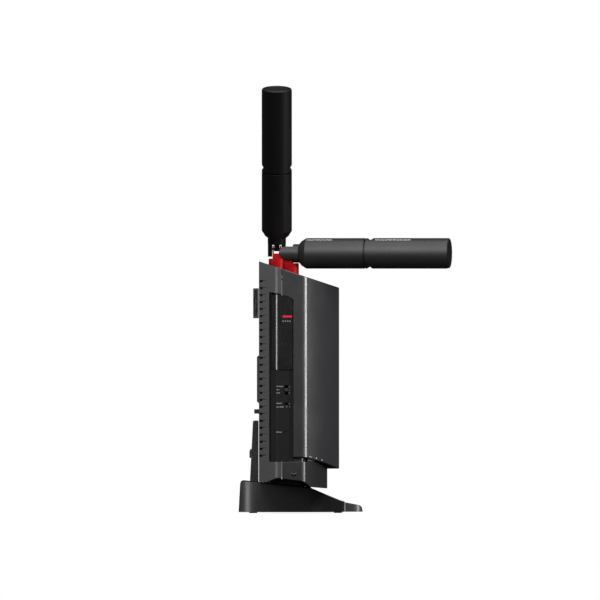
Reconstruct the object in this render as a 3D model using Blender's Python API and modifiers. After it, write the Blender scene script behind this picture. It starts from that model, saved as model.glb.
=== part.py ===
"""Wireless router with four folding antennas, standing upright in a desk stand.

Metres, +Z up.  +X is the front of the router, -Y the side with the control panel.
The case is described by distances forward of its rear face, which lies at x = CASE_REAR.
"""
import math

import bmesh
import bpy
from mathutils import Matrix

GAP = 0.0003                    # air between neighbouring pieces

# Case
HALF_WIDTH = 0.150
REAR_FLAT = 0.132               # half width of the rear face
REAR_CORNER = 0.0155            # depth of the angled rear corner
FRONT_CORNER = 0.039            # where the side starts to curve to the front
FRONT_FLAT = 0.094              # half width of the front face
FRONT_EDGE = (0.0006, 0.0045)   # depth and width of the blunt edge beside the front face
CASE_DEPTH = 0.069
CHASSIS_DEPTH = 0.0598          # the chassis below the cover stops short of its front
WALL = 0.0025
SEAM = 0.0195                   # rear case and front cover meet here
TOP_REAR = 0.2171               # height of the top at the rear face
TOP_FALL = math.tan(math.radians(18.2))
BOTTOM_REAR = 0.0277            # height of the underside at the rear face
BOTTOM_FALL = 0.104
BOTTOM_CHAMFER = 0.011          # the underside rises over this width to each side
BOTTOM_RISE = 0.005
COVER_LOW = 0.0386              # bottom edge of the front cover, middle and sides
COVER_LOW_SIDE = 0.0488
CHASSIS_SIDE_TOP = 0.0448

# Antennas
ROWS = {"front": 0.0273, "rear": 0.0153}
OUTER_Y = 0.118
INNER_Y = 0.046
PIN_ABOVE_TOP = 0.0159
PIN_SETBACK = 0.0024            # hinge pin behind the swivel axis
OUTER_TURN = 9.5                # degrees outwards from straight ahead
OUTER_FOLD = 90.0
INNER_FOLD = 12.0
ANTENNA_R = 0.013
NECK_R = 0.00785
SEAM_L = 0.0679                 # along the antenna, from the pin
NOTCH_L = 0.0720
NOTCH_DEEP = 0.00275
NOTCH_HALF = 0.0028              # half the notch's width at the surface
TIP_L = 0.1412
EDGE_R = 0.0015
TURRET_R = 0.00705
FLANGE_BELOW_PIN = 0.0085
SEGMENTS = 20

# Stand
STAND_REAR = -0.0177
STAND_FRONT = 0.074
STAND_HALF_WIDTH = 0.075
STAND_UNDER = 0.001             # height of its underside, on the feet
STAND_GAP = 0.0015              # between the case and the stand
LIP_FRONT = 0.0895
UPRIGHT_TOP = 0.0795
UPRIGHT_HALF_WIDTH = 0.035


def antenna_reach():
    """How far forward of the case's rear face the folded antennas reach."""
    turn = math.radians(OUTER_TURN)
    along = (TIP_L - EDGE_R - PIN_SETBACK) * math.cos(turn)
    across = (ANTENNA_R - EDGE_R) * math.sin(turn)
    return ROWS["front"] + along + across + EDGE_R


CASE_REAR = -(STAND_REAR + antenna_reach()) / 2


# ---------------------------------------------------------------- scene and materials

for old in list(bpy.data.objects):
    bpy.data.objects.remove(old, do_unlink=True)

ROUTER = bpy.data.collections.new("wireless_router")
CUTTERS = bpy.data.collections.new("cutters")
bpy.context.scene.collection.children.link(ROUTER)
bpy.context.scene.collection.children.link(CUTTERS)


def material(name, colour, roughness, metallic=0.0):
    made = bpy.data.materials.new(name)
    made.use_nodes = True
    shader = made.node_tree.nodes["Principled BSDF"]
    shader.inputs["Base Color"].default_value = (*colour, 1.0)
    shader.inputs["Roughness"].default_value = roughness
    shader.inputs["Metallic"].default_value = metallic
    made.diffuse_color = (*colour, 1.0)
    return made


CASE = material("textured_black", (0.035, 0.035, 0.037), 0.55)
DARK = material("matte_black", (0.012, 0.012, 0.013), 0.6)
COVER = material("cover_grey", (0.06, 0.06, 0.063), 0.45)
RED = material("red_plastic", (0.65, 0.02, 0.03), 0.35)
LENS = material("red_lens", (0.9, 0.05, 0.08), 0.2)
WHITE_LENS = material("white_lens", (0.85, 0.85, 0.85), 0.3)
STEEL = material("steel", (0.6, 0.6, 0.62), 0.35, 1.0)
ALUMINIUM = material("aluminium", (0.75, 0.76, 0.78), 0.4, 1.0)
BOARD = material("circuit_board", (0.02, 0.16, 0.07), 0.5)
RUBBER = material("rubber", (0.015, 0.015, 0.015), 0.85)
CARD = material("card", (0.75, 0.75, 0.73), 0.5)


# ---------------------------------------------------------------- modelling helpers

def add(name, mesh, finish=None, place=None):
    """Link a mesh as a piece, or as a cutter when it has no finish."""
    made = bpy.data.objects.new(name, mesh)
    if finish is None:
        CUTTERS.objects.link(made)
        made.hide_render = True
        made.display_type = "WIRE"
    else:
        ROUTER.objects.link(made)
        if not mesh.materials:
            mesh.materials.append(finish)
    if place is not None:
        made.matrix_world = place
    return made


def mesh_from(name, shape):
    mesh = bpy.data.meshes.new(name)
    shape.to_mesh(mesh)
    shape.free()
    return mesh


def boxes(name, corners, finish=None):
    """One object of axis-aligned boxes, each given by its low and high corner."""
    shape = bmesh.new()
    for low, high in corners:
        size = [b - a for a, b in zip(low, high)]
        middle = [(a + b) / 2 for a, b in zip(low, high)]
        place = Matrix.Translation(middle) @ Matrix.Diagonal((*size, 1))
        bmesh.ops.create_cube(shape, size=1, matrix=place)
    return add(name, mesh_from(name, shape), finish)


def box(name, low, high, finish=None):
    return boxes(name, [(low, high)], finish)


AXIS_TURN = {
    "Z": Matrix.Identity(4),
    "Y": Matrix.Rotation(math.radians(-90), 4, "X"),
    "X": Matrix.Rotation(math.radians(90), 4, "Y"),
}


def rods(name, rods_given, finish=None, segments=12):
    """One object of cylinders along X, Y or Z: (axis, centre, length, radius)."""
    shape = bmesh.new()
    for axis, centre, length, radius in rods_given:
        bmesh.ops.create_cone(
            shape, cap_ends=True, segments=segments, radius1=radius, radius2=radius,
            depth=length, matrix=Matrix.Translation(centre) @ AXIS_TURN[axis])
    mesh = mesh_from(name, shape)
    smooth(mesh)
    return add(name, mesh, finish)


def smooth(mesh):
    mesh.shade_smooth()
    mesh.set_sharp_from_angle(angle=math.radians(35))


OUTLINE_PLANE = {
    "Z": Matrix.Identity(4),
    "Y": Matrix(((1, 0, 0, 0), (0, 0, -1, 0), (0, 1, 0, 0), (0, 0, 0, 1))),
    "X": Matrix(((0, 0, 1, 0), (1, 0, 0, 0), (0, 1, 0, 0), (0, 0, 0, 1))),
}


def prism(name, outline, low, high, axis="Z", finish=None):
    """Flat outline extruded along an axis.

    Points are (x, y) for Z, (x, z) for Y and (y, z) for X.
    """
    curve = bpy.data.curves.new(name, "CURVE")
    curve.dimensions = "2D"
    curve.fill_mode = "BOTH"
    curve.extrude = (high - low) / 2
    spline = curve.splines.new("POLY")
    spline.points.add(len(outline) - 1)
    for point, (a, b) in zip(spline.points, outline):
        point.co = (a, b, 0, 1)
    spline.use_cyclic_u = True
    drawn = bpy.data.objects.new(name + "_outline", curve)
    CUTTERS.objects.link(drawn)
    bpy.context.view_layer.update()
    evaluated = drawn.evaluated_get(bpy.context.evaluated_depsgraph_get())
    mesh = bpy.data.meshes.new_from_object(evaluated)
    shape = bmesh.new()
    shape.from_mesh(mesh)
    bmesh.ops.remove_doubles(shape, verts=shape.verts, dist=0.00001)
    shape.to_mesh(mesh)
    shape.free()
    bpy.data.objects.remove(drawn, do_unlink=True)
    middle = (low + high) / 2
    along = {"X": (middle, 0, 0), "Y": (0, middle, 0), "Z": (0, 0, middle)}[axis]
    mesh.transform(Matrix.Translation(along) @ OUTLINE_PLANE[axis])
    mesh.name = name
    return add(name, mesh, finish)


def turned(name, profile, closed=False, finish=None, segments=SEGMENTS):
    """Profile of (radius, height) points turned about Z with a Screw modifier."""
    mesh = bpy.data.meshes.new(name)
    count = len(profile)
    edges = [(i, i + 1) for i in range(count - 1)]
    if closed:
        edges.append((count - 1, 0))
    mesh.from_pydata([(r, 0, z) for r, z in profile], edges, [])
    made = add(name, mesh, finish)
    screw = made.modifiers.new("turn", "SCREW")
    screw.steps = segments
    screw.render_steps = segments
    screw.use_merge_vertices = True
    screw.merge_threshold = 0.00001
    screw.use_smooth_shade = True
    return made


def boolean(piece, other, operation):
    step = piece.modifiers.new(operation.lower(), "BOOLEAN")
    step.operation = operation
    step.solver = "EXACT"
    step.object = other


def cut(piece, *cutters):
    for cutter in cutters:
        boolean(piece, cutter, "DIFFERENCE")


def join(piece, *others):
    for other in others:
        boolean(piece, other, "UNION")


def keep_inside(piece, other):
    boolean(piece, other, "INTERSECT")


def baked(piece):
    """The piece's finished mesh, so that several objects can share it."""
    bpy.context.view_layer.update()
    evaluated = piece.evaluated_get(bpy.context.evaluated_depsgraph_get())
    mesh = bpy.data.meshes.new_from_object(evaluated)
    smooth(mesh)
    bpy.data.objects.remove(piece, do_unlink=True)
    return mesh


# ---------------------------------------------------------------- outlines

def round_corners(corners, steps=3):
    """Closed outline from (a, b, radius) corners, each radius drawn as an arc."""
    points = []
    count = len(corners)
    for i, (a, b, radius) in enumerate(corners):
        if radius < 0.0001:
            points.append((a, b))
            continue
        before = corners[i - 1]
        after = corners[(i + 1) % count]
        to_before = math.atan2(before[1] - b, before[0] - a)
        to_after = math.atan2(after[1] - b, after[0] - a)
        opening = (to_after - to_before + math.pi) % (2 * math.pi) - math.pi
        reach = radius / math.tan(abs(opening) / 2)
        start = (a + reach * math.cos(to_before), b + reach * math.sin(to_before))
        end = (a + reach * math.cos(to_after), b + reach * math.sin(to_after))
        middle_angle = to_before + opening / 2
        to_centre = radius / math.sin(abs(opening) / 2)
        centre = (a + to_centre * math.cos(middle_angle), b + to_centre * math.sin(middle_angle))
        first = math.atan2(start[1] - centre[1], start[0] - centre[0])
        last = math.atan2(end[1] - centre[1], end[0] - centre[0])
        sweep = (last - first + math.pi) % (2 * math.pi) - math.pi
        for k in range(steps + 1):
            angle = first + sweep * k / steps
            points.append((centre[0] + radius * math.cos(angle),
                           centre[1] + radius * math.sin(angle)))
    return points


def inset(corners, amount):
    """Move every side of a convex, anticlockwise outline inwards."""
    moved = []
    count = len(corners)
    for i, (a, b, radius) in enumerate(corners):
        before = corners[i - 1]
        after = corners[(i + 1) % count]
        u = ((a - before[0]), (b - before[1]))
        v = ((after[0] - a), (after[1] - b))
        nu = normal(u)
        nv = normal(v)
        share = amount / (1 + nu[0] * nv[0] + nu[1] * nv[1])
        moved.append((a + (nu[0] + nv[0]) * share, b + (nu[1] + nv[1]) * share,
                      max(radius - amount, 0)))
    return moved


def normal(side):
    length = math.hypot(*side)
    return (-side[1] / length, side[0] / length)


def case_outline(step_in=0.0, depth=CASE_DEPTH, rear=0.0):
    """Plan of the case: flat rear, angled rear corners, flat sides, curved front corners."""
    start = (FRONT_CORNER, HALF_WIDTH)
    end = (depth - FRONT_EDGE[0], FRONT_FLAT + FRONT_EDGE[1])
    half = [(rear, REAR_FLAT, 0.0015), (REAR_CORNER, HALF_WIDTH, 0.0057), (*start, 0.004)]
    half += [(*point, 0) for point in shallow_arc(start, end, 24, 5)]
    half += [(*end, 0), (depth, FRONT_FLAT, 0)]
    corners = [(a, -b, r) for a, b, r in half] + half[::-1]
    points = round_corners(inset(corners, step_in))
    return [(CASE_REAR + a, b) for a, b in points]


def shallow_arc(start, end, turn, pieces):
    """Points between start and end on an arc that turns by so many degrees."""
    chord = math.hypot(end[0] - start[0], end[1] - start[1])
    half = math.radians(turn) / 2
    radius = chord / (2 * math.sin(half))
    along = ((end[0] - start[0]) / chord, (end[1] - start[1]) / chord)
    out = (-along[1], along[0])
    points = []
    for k in range(1, pieces):
        angle = -half + 2 * half * k / pieces
        forward = chord / 2 + radius * math.sin(angle)
        bulge = radius * (math.cos(angle) - math.cos(half))
        points.append((start[0] + along[0] * forward + out[0] * bulge,
                       start[1] + along[1] * forward + out[1] * bulge))
    return points


def top_at(forward):
    return TOP_REAR - TOP_FALL * forward


def bottom_at(forward):
    return BOTTOM_REAR - BOTTOM_FALL * forward


def layer(first, last, low, high):
    """Side profile between two distances forward; low and high give heights."""
    return [(CASE_REAR + first, low(first)), (CASE_REAR + last, low(last)),
            (CASE_REAR + last, high(last)), (CASE_REAR + first, high(first))]


def height(value):
    return lambda forward: value


def case_block(name, step_in, profile, finish=None, depth=CASE_DEPTH, rear=0.0):
    """The case's plan, stepped in, over a side profile."""
    piece = prism(name, case_outline(step_in, depth, rear), 0.0, 0.25, "Z", finish)
    width = HALF_WIDTH + 0.01
    keep_inside(piece, prism(name + "_side", profile, -width, width, "Y"))
    return piece


def chamfer_wedges(name):
    """Cutters that make the underside rise to both sides."""
    wedges = []
    inner = HALF_WIDTH - BOTTOM_CHAMFER
    outer = HALF_WIDTH + BOTTOM_CHAMFER
    for side in (-1, 1):
        outline = [(side * inner, 0), (side * inner, -0.02), (side * outer, -0.02),
                   (side * outer, 2 * BOTTOM_RISE)]
        wedge = prism(f"{name}_wedge_{side + 1}", outline, -0.02, 0.09, "X")
        tilt = Matrix.Rotation(math.atan(BOTTOM_FALL), 4, "Y")
        wedge.matrix_world = Matrix.Translation((CASE_REAR, 0, BOTTOM_REAR)) @ tilt
        wedges.append(wedge)
    return wedges


# ---------------------------------------------------------------- case

PANEL_REAR = 0.0089
PANEL_FRONT = 0.0296
PANEL_LOW = 0.0448
PANEL_HIGH = 0.1907
VENT_COUNT = 26
VENT_PITCH = 0.0060
VENT_LOW = 0.0490
PORTS_LOW = 0.0945
PORTS_HIGH = 0.1362
PORTS_HALF_WIDTH = 0.100
BOARD_AT = 0.0182
BOARD_THICK = 0.0016
BOARD_POSTS = [(side * 0.122, z) for side in (-1, 1) for z in (0.066, 0.178)]
POWER_BUTTON = (-0.070, 0.0878)      # centre across and up
SIDE_SCREW = (0.030, 0.0340)         # forward and up
RIB_COUNT = 8
RIB_PITCH = 0.0055
RIB_WIDTH = 0.0024
RIB_HEIGHT = 0.0011
RIB_HALF_LENGTH = 0.062


def panel_opening(name, grow, rear, front, low, high):
    """The control panel's opening in the side of the case, with its cut corner."""
    rear = CASE_REAR + rear - grow
    front = CASE_REAR + front + grow
    outline = [(rear, low - grow), (front, low - grow), (front, high - 0.0069 + grow),
               (front - 0.003, high - 0.0043 + grow), (front - 0.012, high - 0.0015 + grow),
               (rear, high + grow)]
    return prism(name, outline, -HALF_WIDTH - 0.002, -HALF_WIDTH + 0.0125, "Y")


def rear_case():
    piece = case_block("rear_case", 0.0, layer(-0.001, SEAM, bottom_at, top_at), CASE)
    cut(piece, prism("rear_case_inside", case_outline(WALL), 0.0, 0.25))
    cut(piece, *chamfer_wedges("rear_case"))
    cut(piece, panel_opening("rear_case_panel", 0.0, PANEL_REAR, PANEL_FRONT, PANEL_LOW,
                             PANEL_HIGH))
    vents = []
    for k in range(VENT_COUNT):
        z = VENT_LOW + VENT_PITCH * k
        for side in (-1, 1):
            near, far = sorted((side * 0.1295, side * 0.1425))
            vents.append(((CASE_REAR + 0.0005, near, z), (CASE_REAR + 0.0062, far, z + 0.0019)))
    cut(piece, boxes("rear_case_vents", vents))
    cut(piece, box("rear_case_ports",
                   (CASE_REAR - 0.001, -PORTS_HALF_WIDTH, PORTS_LOW),
                   (CASE_REAR + WALL + 0.001, PORTS_HALF_WIDTH, PORTS_HIGH)))
    y, z = POWER_BUTTON
    cut(piece, box("rear_case_power", (CASE_REAR - 0.001, y - 0.0055, z - 0.0022),
                   (CASE_REAR + WALL + 0.001, y + 0.0055, z + 0.0022)))
    posts = [("X", (CASE_REAR + 0.0099, y, z), 0.0160, 0.0035) for y, z in BOARD_POSTS]
    join(piece, rods("rear_case_posts", posts))
    return piece


def cover_trim(name):
    """Cutters below the front cover's lower edge: level in front, rising to the sides."""
    inner = FRONT_FLAT + FRONT_EDGE[1]
    rise = (COVER_LOW_SIDE - COVER_LOW) / (HALF_WIDTH - inner)
    outer = HALF_WIDTH + 0.01
    trims = []
    for side in (-1, 1):
        outline = [(side * inner, COVER_LOW), (side * inner, 0.02), (side * outer, 0.02),
                   (side * outer, COVER_LOW + rise * (outer - inner))]
        trims.append(prism(f"{name}_trim_{side + 1}", outline,
                           CASE_REAR, CASE_REAR + CASE_DEPTH + 0.01, "X"))
    return trims


LIGHT_PIPES = [0.0448, 0.0495, 0.0543]      # forward of the rear face


def light_pipe_place(forward):
    """Centre and height of a light pipe in the curved corner of the cover."""
    start = (FRONT_CORNER, HALF_WIDTH)
    end = (CASE_DEPTH - FRONT_EDGE[0], FRONT_FLAT + FRONT_EDGE[1])
    points = [start] + shallow_arc(start, end, 24, 5) + [end]
    for (x0, y0), (x1, y1) in zip(points, points[1:]):
        if x0 <= forward <= x1:
            y = y0 + (y1 - y0) * (forward - x0) / (x1 - x0)
            slope = math.atan2(x1 - x0, y0 - y1)
            break
    rise = (COVER_LOW_SIDE - COVER_LOW) / (HALF_WIDTH - end[1])
    z = COVER_LOW + rise * (y - end[1]) + 0.0016
    place = Matrix.Translation((CASE_REAR + forward, -y, z))
    return place @ Matrix.Rotation(-slope, 4, "Z") @ AXIS_TURN["X"]


def pipe_rods(name, radius, length, outside, finish=None):
    """Rods square to the cover's curved wall, standing out of it by so much."""
    shape = bmesh.new()
    for forward in LIGHT_PIPES:
        place = light_pipe_place(forward) @ Matrix.Translation((0, 0, outside - length / 2))
        bmesh.ops.create_cone(shape, cap_ends=True, segments=10, radius1=radius,
                              radius2=radius, depth=length, matrix=place)
    return add(name, mesh_from(name, shape), finish)


def light_pipes():
    """Three light pipes moulded on one bar behind the cover's wall."""
    piece = prism("light_pipes", case_outline(0.0030), 0.0452, 0.0500, "Z", WHITE_LENS)
    cut(piece, prism("light_pipes_back", case_outline(0.0044), 0.04, 0.06))
    keep_inside(piece, box("light_pipes_length", (CASE_REAR + LIGHT_PIPES[0] - 0.0030, -0.16, 0.04),
                           (CASE_REAR + LIGHT_PIPES[-1] + 0.0010, 0, 0.06)))
    join(piece, pipe_rods("light_pipe_rods", 0.0006, 0.0036, 0.0))
    cut(piece, prism("light_pipes_clear", case_outline(0.0036 - GAP, CHASSIS_DEPTH), 0.04, 0.06))
    return piece


def front_cover():
    piece = case_block("front_cover", 0.0,
                       layer(SEAM + GAP, CASE_DEPTH + 0.001, height(COVER_LOW), top_at), COVER)
    cut(piece, prism("front_cover_inside", case_outline(WALL), COVER_LOW + 0.0022, 0.25))
    cut(piece, prism("front_cover_passage", case_outline(0.0006, CHASSIS_DEPTH, -0.01),
                     0.02, COVER_LOW + 0.004))
    cut(piece, *cover_trim("front_cover"))
    cut(piece, panel_opening("front_cover_panel", 0.0, PANEL_REAR, PANEL_FRONT, PANEL_LOW,
                             PANEL_HIGH))
    cut(piece, pipe_rods("front_cover_pipe_holes", 0.0009, 0.010, 0.002))
    return piece


def lower_chassis():
    piece = case_block("lower_chassis", 0.001,
                       layer(SEAM + GAP, 0.065, bottom_at, height(CHASSIS_SIDE_TOP)),
                       DARK, CHASSIS_DEPTH)
    inner_wall = case_block("chassis_wall", 0.0036,
                            layer(SEAM + GAP, 0.065, height(0.036), height(0.060)),
                            None, CHASSIS_DEPTH)
    join(piece, inner_wall)
    cut(piece, prism("chassis_inside", case_outline(0.0054, CHASSIS_DEPTH), 0.0, 0.25))
    cut(piece, *chamfer_wedges("chassis"))
    forward, up = SIDE_SCREW
    holes = [("Y", (CASE_REAR + forward, side * (HALF_WIDTH - 0.003), up), 0.008, 0.0020)
             for side in (-1, 1)]
    cut(piece, rods("chassis_screw_holes", holes))
    return piece


def top_panel():
    under = 0.0026
    piece = case_block("top_panel", WALL + GAP,
                       layer(0.0, 0.0490, lambda u: top_at(u) - under, top_at), CASE)
    holes = []
    for row, y in (("front", OUTER_Y), ("rear", INNER_Y)):
        for side in (-1, 1):
            holes.append(("Z", (CASE_REAR + ROWS[row], side * y, top_at(ROWS[row])),
                          0.02, TURRET_R + GAP))
    cut(piece, rods("top_panel_holes", holes, segments=SEGMENTS))
    return piece


def top_grille():
    piece = case_block("top_grille", WALL + GAP,
                       layer(0.0493, CASE_DEPTH, lambda u: top_at(u) - 0.003,
                             lambda u: top_at(u) - 0.0004), DARK)
    slots = []
    for row in range(3):
        forward = CASE_REAR + 0.0515 + 0.0048 * row
        for column in range(-3, 4):
            slots.append(((forward, column * 0.026 - 0.0115, 0.18),
                          (forward + 0.0026, column * 0.026 + 0.0115, 0.21)))
    cut(piece, boxes("top_grille_slots", slots))
    return piece


def bottom_cover():
    """Plate that closes the case below, with ribs across it that keep air under the router."""
    piece = case_block("bottom_cover", 0.0057,
                       layer(-0.01, 0.065, bottom_at, lambda u: bottom_at(u) + 0.0024),
                       DARK, CHASSIS_DEPTH, -0.0029)
    ribs = []
    for k in range(RIB_COUNT):
        forward = 0.0042 + RIB_PITCH * k
        ribs.append(((forward, -RIB_HALF_LENGTH, -RIB_HEIGHT),
                     (forward + RIB_WIDTH, RIB_HALF_LENGTH, 0.0010)))
    tilted = boxes("bottom_cover_ribs", ribs)
    tilt = Matrix.Rotation(math.atan(BOTTOM_FALL), 4, "Y")
    tilted.matrix_world = Matrix.Translation((CASE_REAR, 0, BOTTOM_REAR)) @ tilt
    join(piece, tilted)
    slots = []
    for k in range(RIB_COUNT - 1):
        forward = CASE_REAR + 0.0042 + RIB_PITCH * k + RIB_WIDTH + 0.0006
        for y0, y1 in ((-0.125, -0.090), (0.090, 0.125)):
            slots.append(((forward, y0, 0.01), (forward + 0.0018, y1, 0.04)))
    cut(piece, boxes("bottom_cover_slots", slots))
    return piece


# ---------------------------------------------------------------- control panel

SIDE_FACE = -HALF_WIDTH + 0.0012     # the panel lies this far in
BUTTON_REAR = 0.0111
BUTTON_FRONT = 0.0290
BUTTON_LOW = 0.1240
BUTTON_HIGH = 0.1886
SWITCH_AT = 0.0236
MODE_SWITCH_Z = 0.1066
AUTO_SWITCH_Z = 0.0921
RESET = (0.0229, 0.0703)


def side_skin(name, near, far, finish=None):
    """A skin that follows the side of the case between two depths under its surface."""
    skin = prism(name, case_outline(near), 0.02, 0.20, "Z", finish)
    cut(skin, prism(name + "_back", case_outline(far), 0.01, 0.21))
    return skin


def control_panel():
    piece = side_skin("control_panel", 0.0012, 0.0032, DARK)
    keep_inside(piece, panel_opening("control_panel_edge", -GAP, PANEL_REAR, PANEL_FRONT,
                                     PANEL_LOW, PANEL_HIGH))
    x = CASE_REAR + BUTTON_REAR - GAP
    cut(piece, box("control_panel_button", (x, -0.16, BUTTON_LOW - GAP),
                   (CASE_REAR + 0.035, -0.13, 0.21)))
    x = CASE_REAR + SWITCH_AT
    cut(piece, boxes("control_panel_slots", [
        ((x - 0.0014, -0.16, MODE_SWITCH_Z - 0.0041), (x + 0.0014, -0.13, MODE_SWITCH_Z + 0.0041)),
        ((x - 0.0014, -0.16, AUTO_SWITCH_Z - 0.0013), (x + 0.0014, -0.13, AUTO_SWITCH_Z + 0.0038)),
    ]))
    cut(piece, rods("control_panel_reset", [
        ("Y", (CASE_REAR + RESET[0], SIDE_FACE, RESET[1]), 0.012, 0.00125)]))
    return piece


def pairing_button():
    piece = side_skin("pairing_button", 0.0003, 0.0026, DARK)
    outline = [(CASE_REAR + BUTTON_REAR, BUTTON_LOW + 0.0016),
               (CASE_REAR + BUTTON_REAR + 0.004, BUTTON_LOW),
               (CASE_REAR + BUTTON_FRONT, BUTTON_LOW),
               (CASE_REAR + BUTTON_FRONT, BUTTON_HIGH - 0.0050),
               (CASE_REAR + BUTTON_FRONT - 0.003, BUTTON_HIGH - 0.0026),
               (CASE_REAR + BUTTON_FRONT - 0.011, BUTTON_HIGH - 0.0003),
               (CASE_REAR + BUTTON_REAR, BUTTON_HIGH)]
    keep_inside(piece, prism("pairing_button_edge", outline, -0.16, -0.12, "Y"))
    cut(piece, box("pairing_button_slot", (CASE_REAR + 0.0201, -0.16, 0.1684),
                   (CASE_REAR + 0.0288, -HALF_WIDTH + 0.0018, 0.1707)))
    return piece


def small_controls():
    box("status_light", (CASE_REAR + 0.0204, -HALF_WIDTH + 0.0002, 0.1687),
        (CASE_REAR + 0.0285, -HALF_WIDTH + 0.0015, 0.1704), LENS)
    x = CASE_REAR + SWITCH_AT
    for name, z in (("mode_switch", MODE_SWITCH_Z), ("auto_switch", AUTO_SWITCH_Z)):
        box(name, (x - 0.0011, SIDE_FACE - 0.0006, z - 0.0011),
            (x + 0.0011, SIDE_FACE + 0.0032, z + 0.0011), DARK)
    rods("reset_button", [("Y", (CASE_REAR + RESET[0], SIDE_FACE + 0.0028, RESET[1]),
                           0.0040, 0.0009)], DARK)
    y, z = POWER_BUTTON
    box("power_button", (CASE_REAR - 0.0042, y - 0.0052, z - 0.0019),
        (CASE_REAR + 0.0060, y + 0.0052, z + 0.0019), DARK)


# ---------------------------------------------------------------- rear panel and sockets

NETWORK_PORTS = [-0.028, 0.002, 0.022, 0.042, 0.062]     # the first is the internet port
PORT_HALF_WIDTH = 0.0060
PORT_LOW = 0.1085
PORT_HIGH = 0.1170
LATCH_HALF_WIDTH = 0.0030
LATCH_HIGH = 0.1200
USB_AT = -0.054
POWER_JACK_AT = -0.082
JACK_Z = 0.1130
SOCKET_FRONT = 0.0160                # how far the sockets' hollows go in


def network_hollows(y, rear, front):
    x0 = CASE_REAR + rear
    x1 = CASE_REAR + front
    return [((x0, y - PORT_HALF_WIDTH, PORT_LOW), (x1, y + PORT_HALF_WIDTH, PORT_HIGH))]


def latch_hollows(y, rear, front):
    x0 = CASE_REAR + rear
    x1 = CASE_REAR + front
    return [((x0, y - LATCH_HALF_WIDTH, PORT_HIGH - 0.001), (x1, y + LATCH_HALF_WIDTH, LATCH_HIGH))]


def port_panel():
    y = PORTS_HALF_WIDTH - GAP
    rear = CASE_REAR - 0.0018
    front = CASE_REAR + WALL - GAP
    outline = [(rear, PORTS_LOW + 0.0020), (CASE_REAR, PORTS_LOW + GAP),
               (front, PORTS_LOW + GAP), (front, PORTS_HIGH - GAP),
               (CASE_REAR, PORTS_HIGH - GAP), (rear, PORTS_HIGH - 0.0014)]
    piece = prism("port_panel", outline, -y, y, "Y", CASE)
    for index, port in enumerate(NETWORK_PORTS):
        cut(piece, boxes(f"port_panel_port_{index}", network_hollows(port, -0.01, 0.01)))
        cut(piece, boxes(f"port_panel_latch_{index}", latch_hollows(port, -0.01, 0.01)))
    cut(piece, box("port_panel_usb", (CASE_REAR - 0.01, USB_AT - 0.0033, JACK_Z - 0.0068),
                   (CASE_REAR + 0.01, USB_AT + 0.0033, JACK_Z + 0.0068)))
    cut(piece, rods("port_panel_jack", [
        ("X", (CASE_REAR, POWER_JACK_AT, JACK_Z), 0.02, 0.0042)], segments=16))
    return piece


def network_socket(name, ports):
    """A block with one hollow for each plug, and a groove for the plug's latch."""
    rear = CASE_REAR + WALL
    piece = box(name, (rear, ports[0] - 0.0085, 0.1045), (CASE_REAR + 0.0176, ports[-1] + 0.0085,
                                                         0.1225), STEEL)
    for index, port in enumerate(ports):
        cut(piece, boxes(f"{name}_port_{index}", network_hollows(port, 0.0, SOCKET_FRONT)))
        cut(piece, boxes(f"{name}_latch_{index}", latch_hollows(port, 0.0, SOCKET_FRONT - 0.003)))
    return piece


def usb_socket():
    rear = CASE_REAR + WALL
    piece = box("usb_port", (rear, USB_AT - 0.0048, JACK_Z - 0.0083),
                (CASE_REAR + 0.0176, USB_AT + 0.0048, JACK_Z + 0.0083), STEEL)
    cut(piece, box("usb_hollow", (rear - 0.001, USB_AT - 0.0027, JACK_Z - 0.0062),
                   (CASE_REAR + SOCKET_FRONT, USB_AT + 0.0027, JACK_Z + 0.0062)))
    tongue = box("usb_tongue", (rear + 0.002, USB_AT - 0.0024, JACK_Z - 0.0056),
                 (CASE_REAR + 0.0168, USB_AT - 0.0008, JACK_Z + 0.0056))
    join(piece, tongue)
    return piece


def power_jack():
    rear = CASE_REAR + WALL
    piece = box("power_jack", (rear, POWER_JACK_AT - 0.0072, JACK_Z - 0.0072),
                (CASE_REAR + 0.0176, POWER_JACK_AT + 0.0072, JACK_Z + 0.0072), DARK)
    cut(piece, rods("jack_hollow", [
        ("X", (rear + 0.0045, POWER_JACK_AT, JACK_Z), 0.018, 0.0040)], segments=16))
    join(piece, rods("jack_pin", [
        ("X", (CASE_REAR + 0.0110, POWER_JACK_AT, JACK_Z), 0.0125, 0.0010)], segments=8))
    return piece


def card_holder():
    """Shallow pocket on the rear that keeps a blank card; the card slides out sideways."""
    rear = CASE_REAR - 0.0050
    front = CASE_REAR - GAP
    outline = [(rear, 0.1681), (front, 0.1681), (front, 0.1939), (rear, 0.1939)]
    piece = prism("card_holder", outline, -0.1310, -0.0410, "Y", DARK)
    cut(piece, box("card_pocket", (rear + 0.0014, -0.1320, 0.1702),
                   (front - 0.0014, -0.0430, 0.1918)))
    cut(piece, box("card_finger_notch", (rear - 0.001, -0.1320, 0.1760),
                   (rear + 0.002, -0.1220, 0.1860)))
    box("setup_card", (rear + 0.0017, -0.1300, 0.1706), (rear + 0.0028, -0.0434, 0.1914), CARD)
    return piece


# ---------------------------------------------------------------- inside

def electronics():
    """Board on the rear case's posts, with a shield over its chips and a heat sink on that."""
    box("main_board", (CASE_REAR + BOARD_AT, -0.128, 0.058),
        (CASE_REAR + BOARD_AT + BOARD_THICK, 0.128, 0.186), BOARD)
    front = CASE_REAR + BOARD_AT + BOARD_THICK + GAP
    box("shield_can", (front, -0.080, 0.085), (front + 0.0035, 0.085, 0.140), STEEL)
    base = front + 0.0035 + GAP
    sink = box("heat_sink", (base, -0.092, 0.074), (base + 0.014, 0.092, 0.168), ALUMINIUM)
    grooves = []
    for k in range(11):
        y = -0.0865 + 0.0160 * k
        grooves.append(((base + 0.003, y, 0.07), (base + 0.02, y + 0.013, 0.17)))
    cut(sink, boxes("heat_sink_grooves", grooves))


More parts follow.
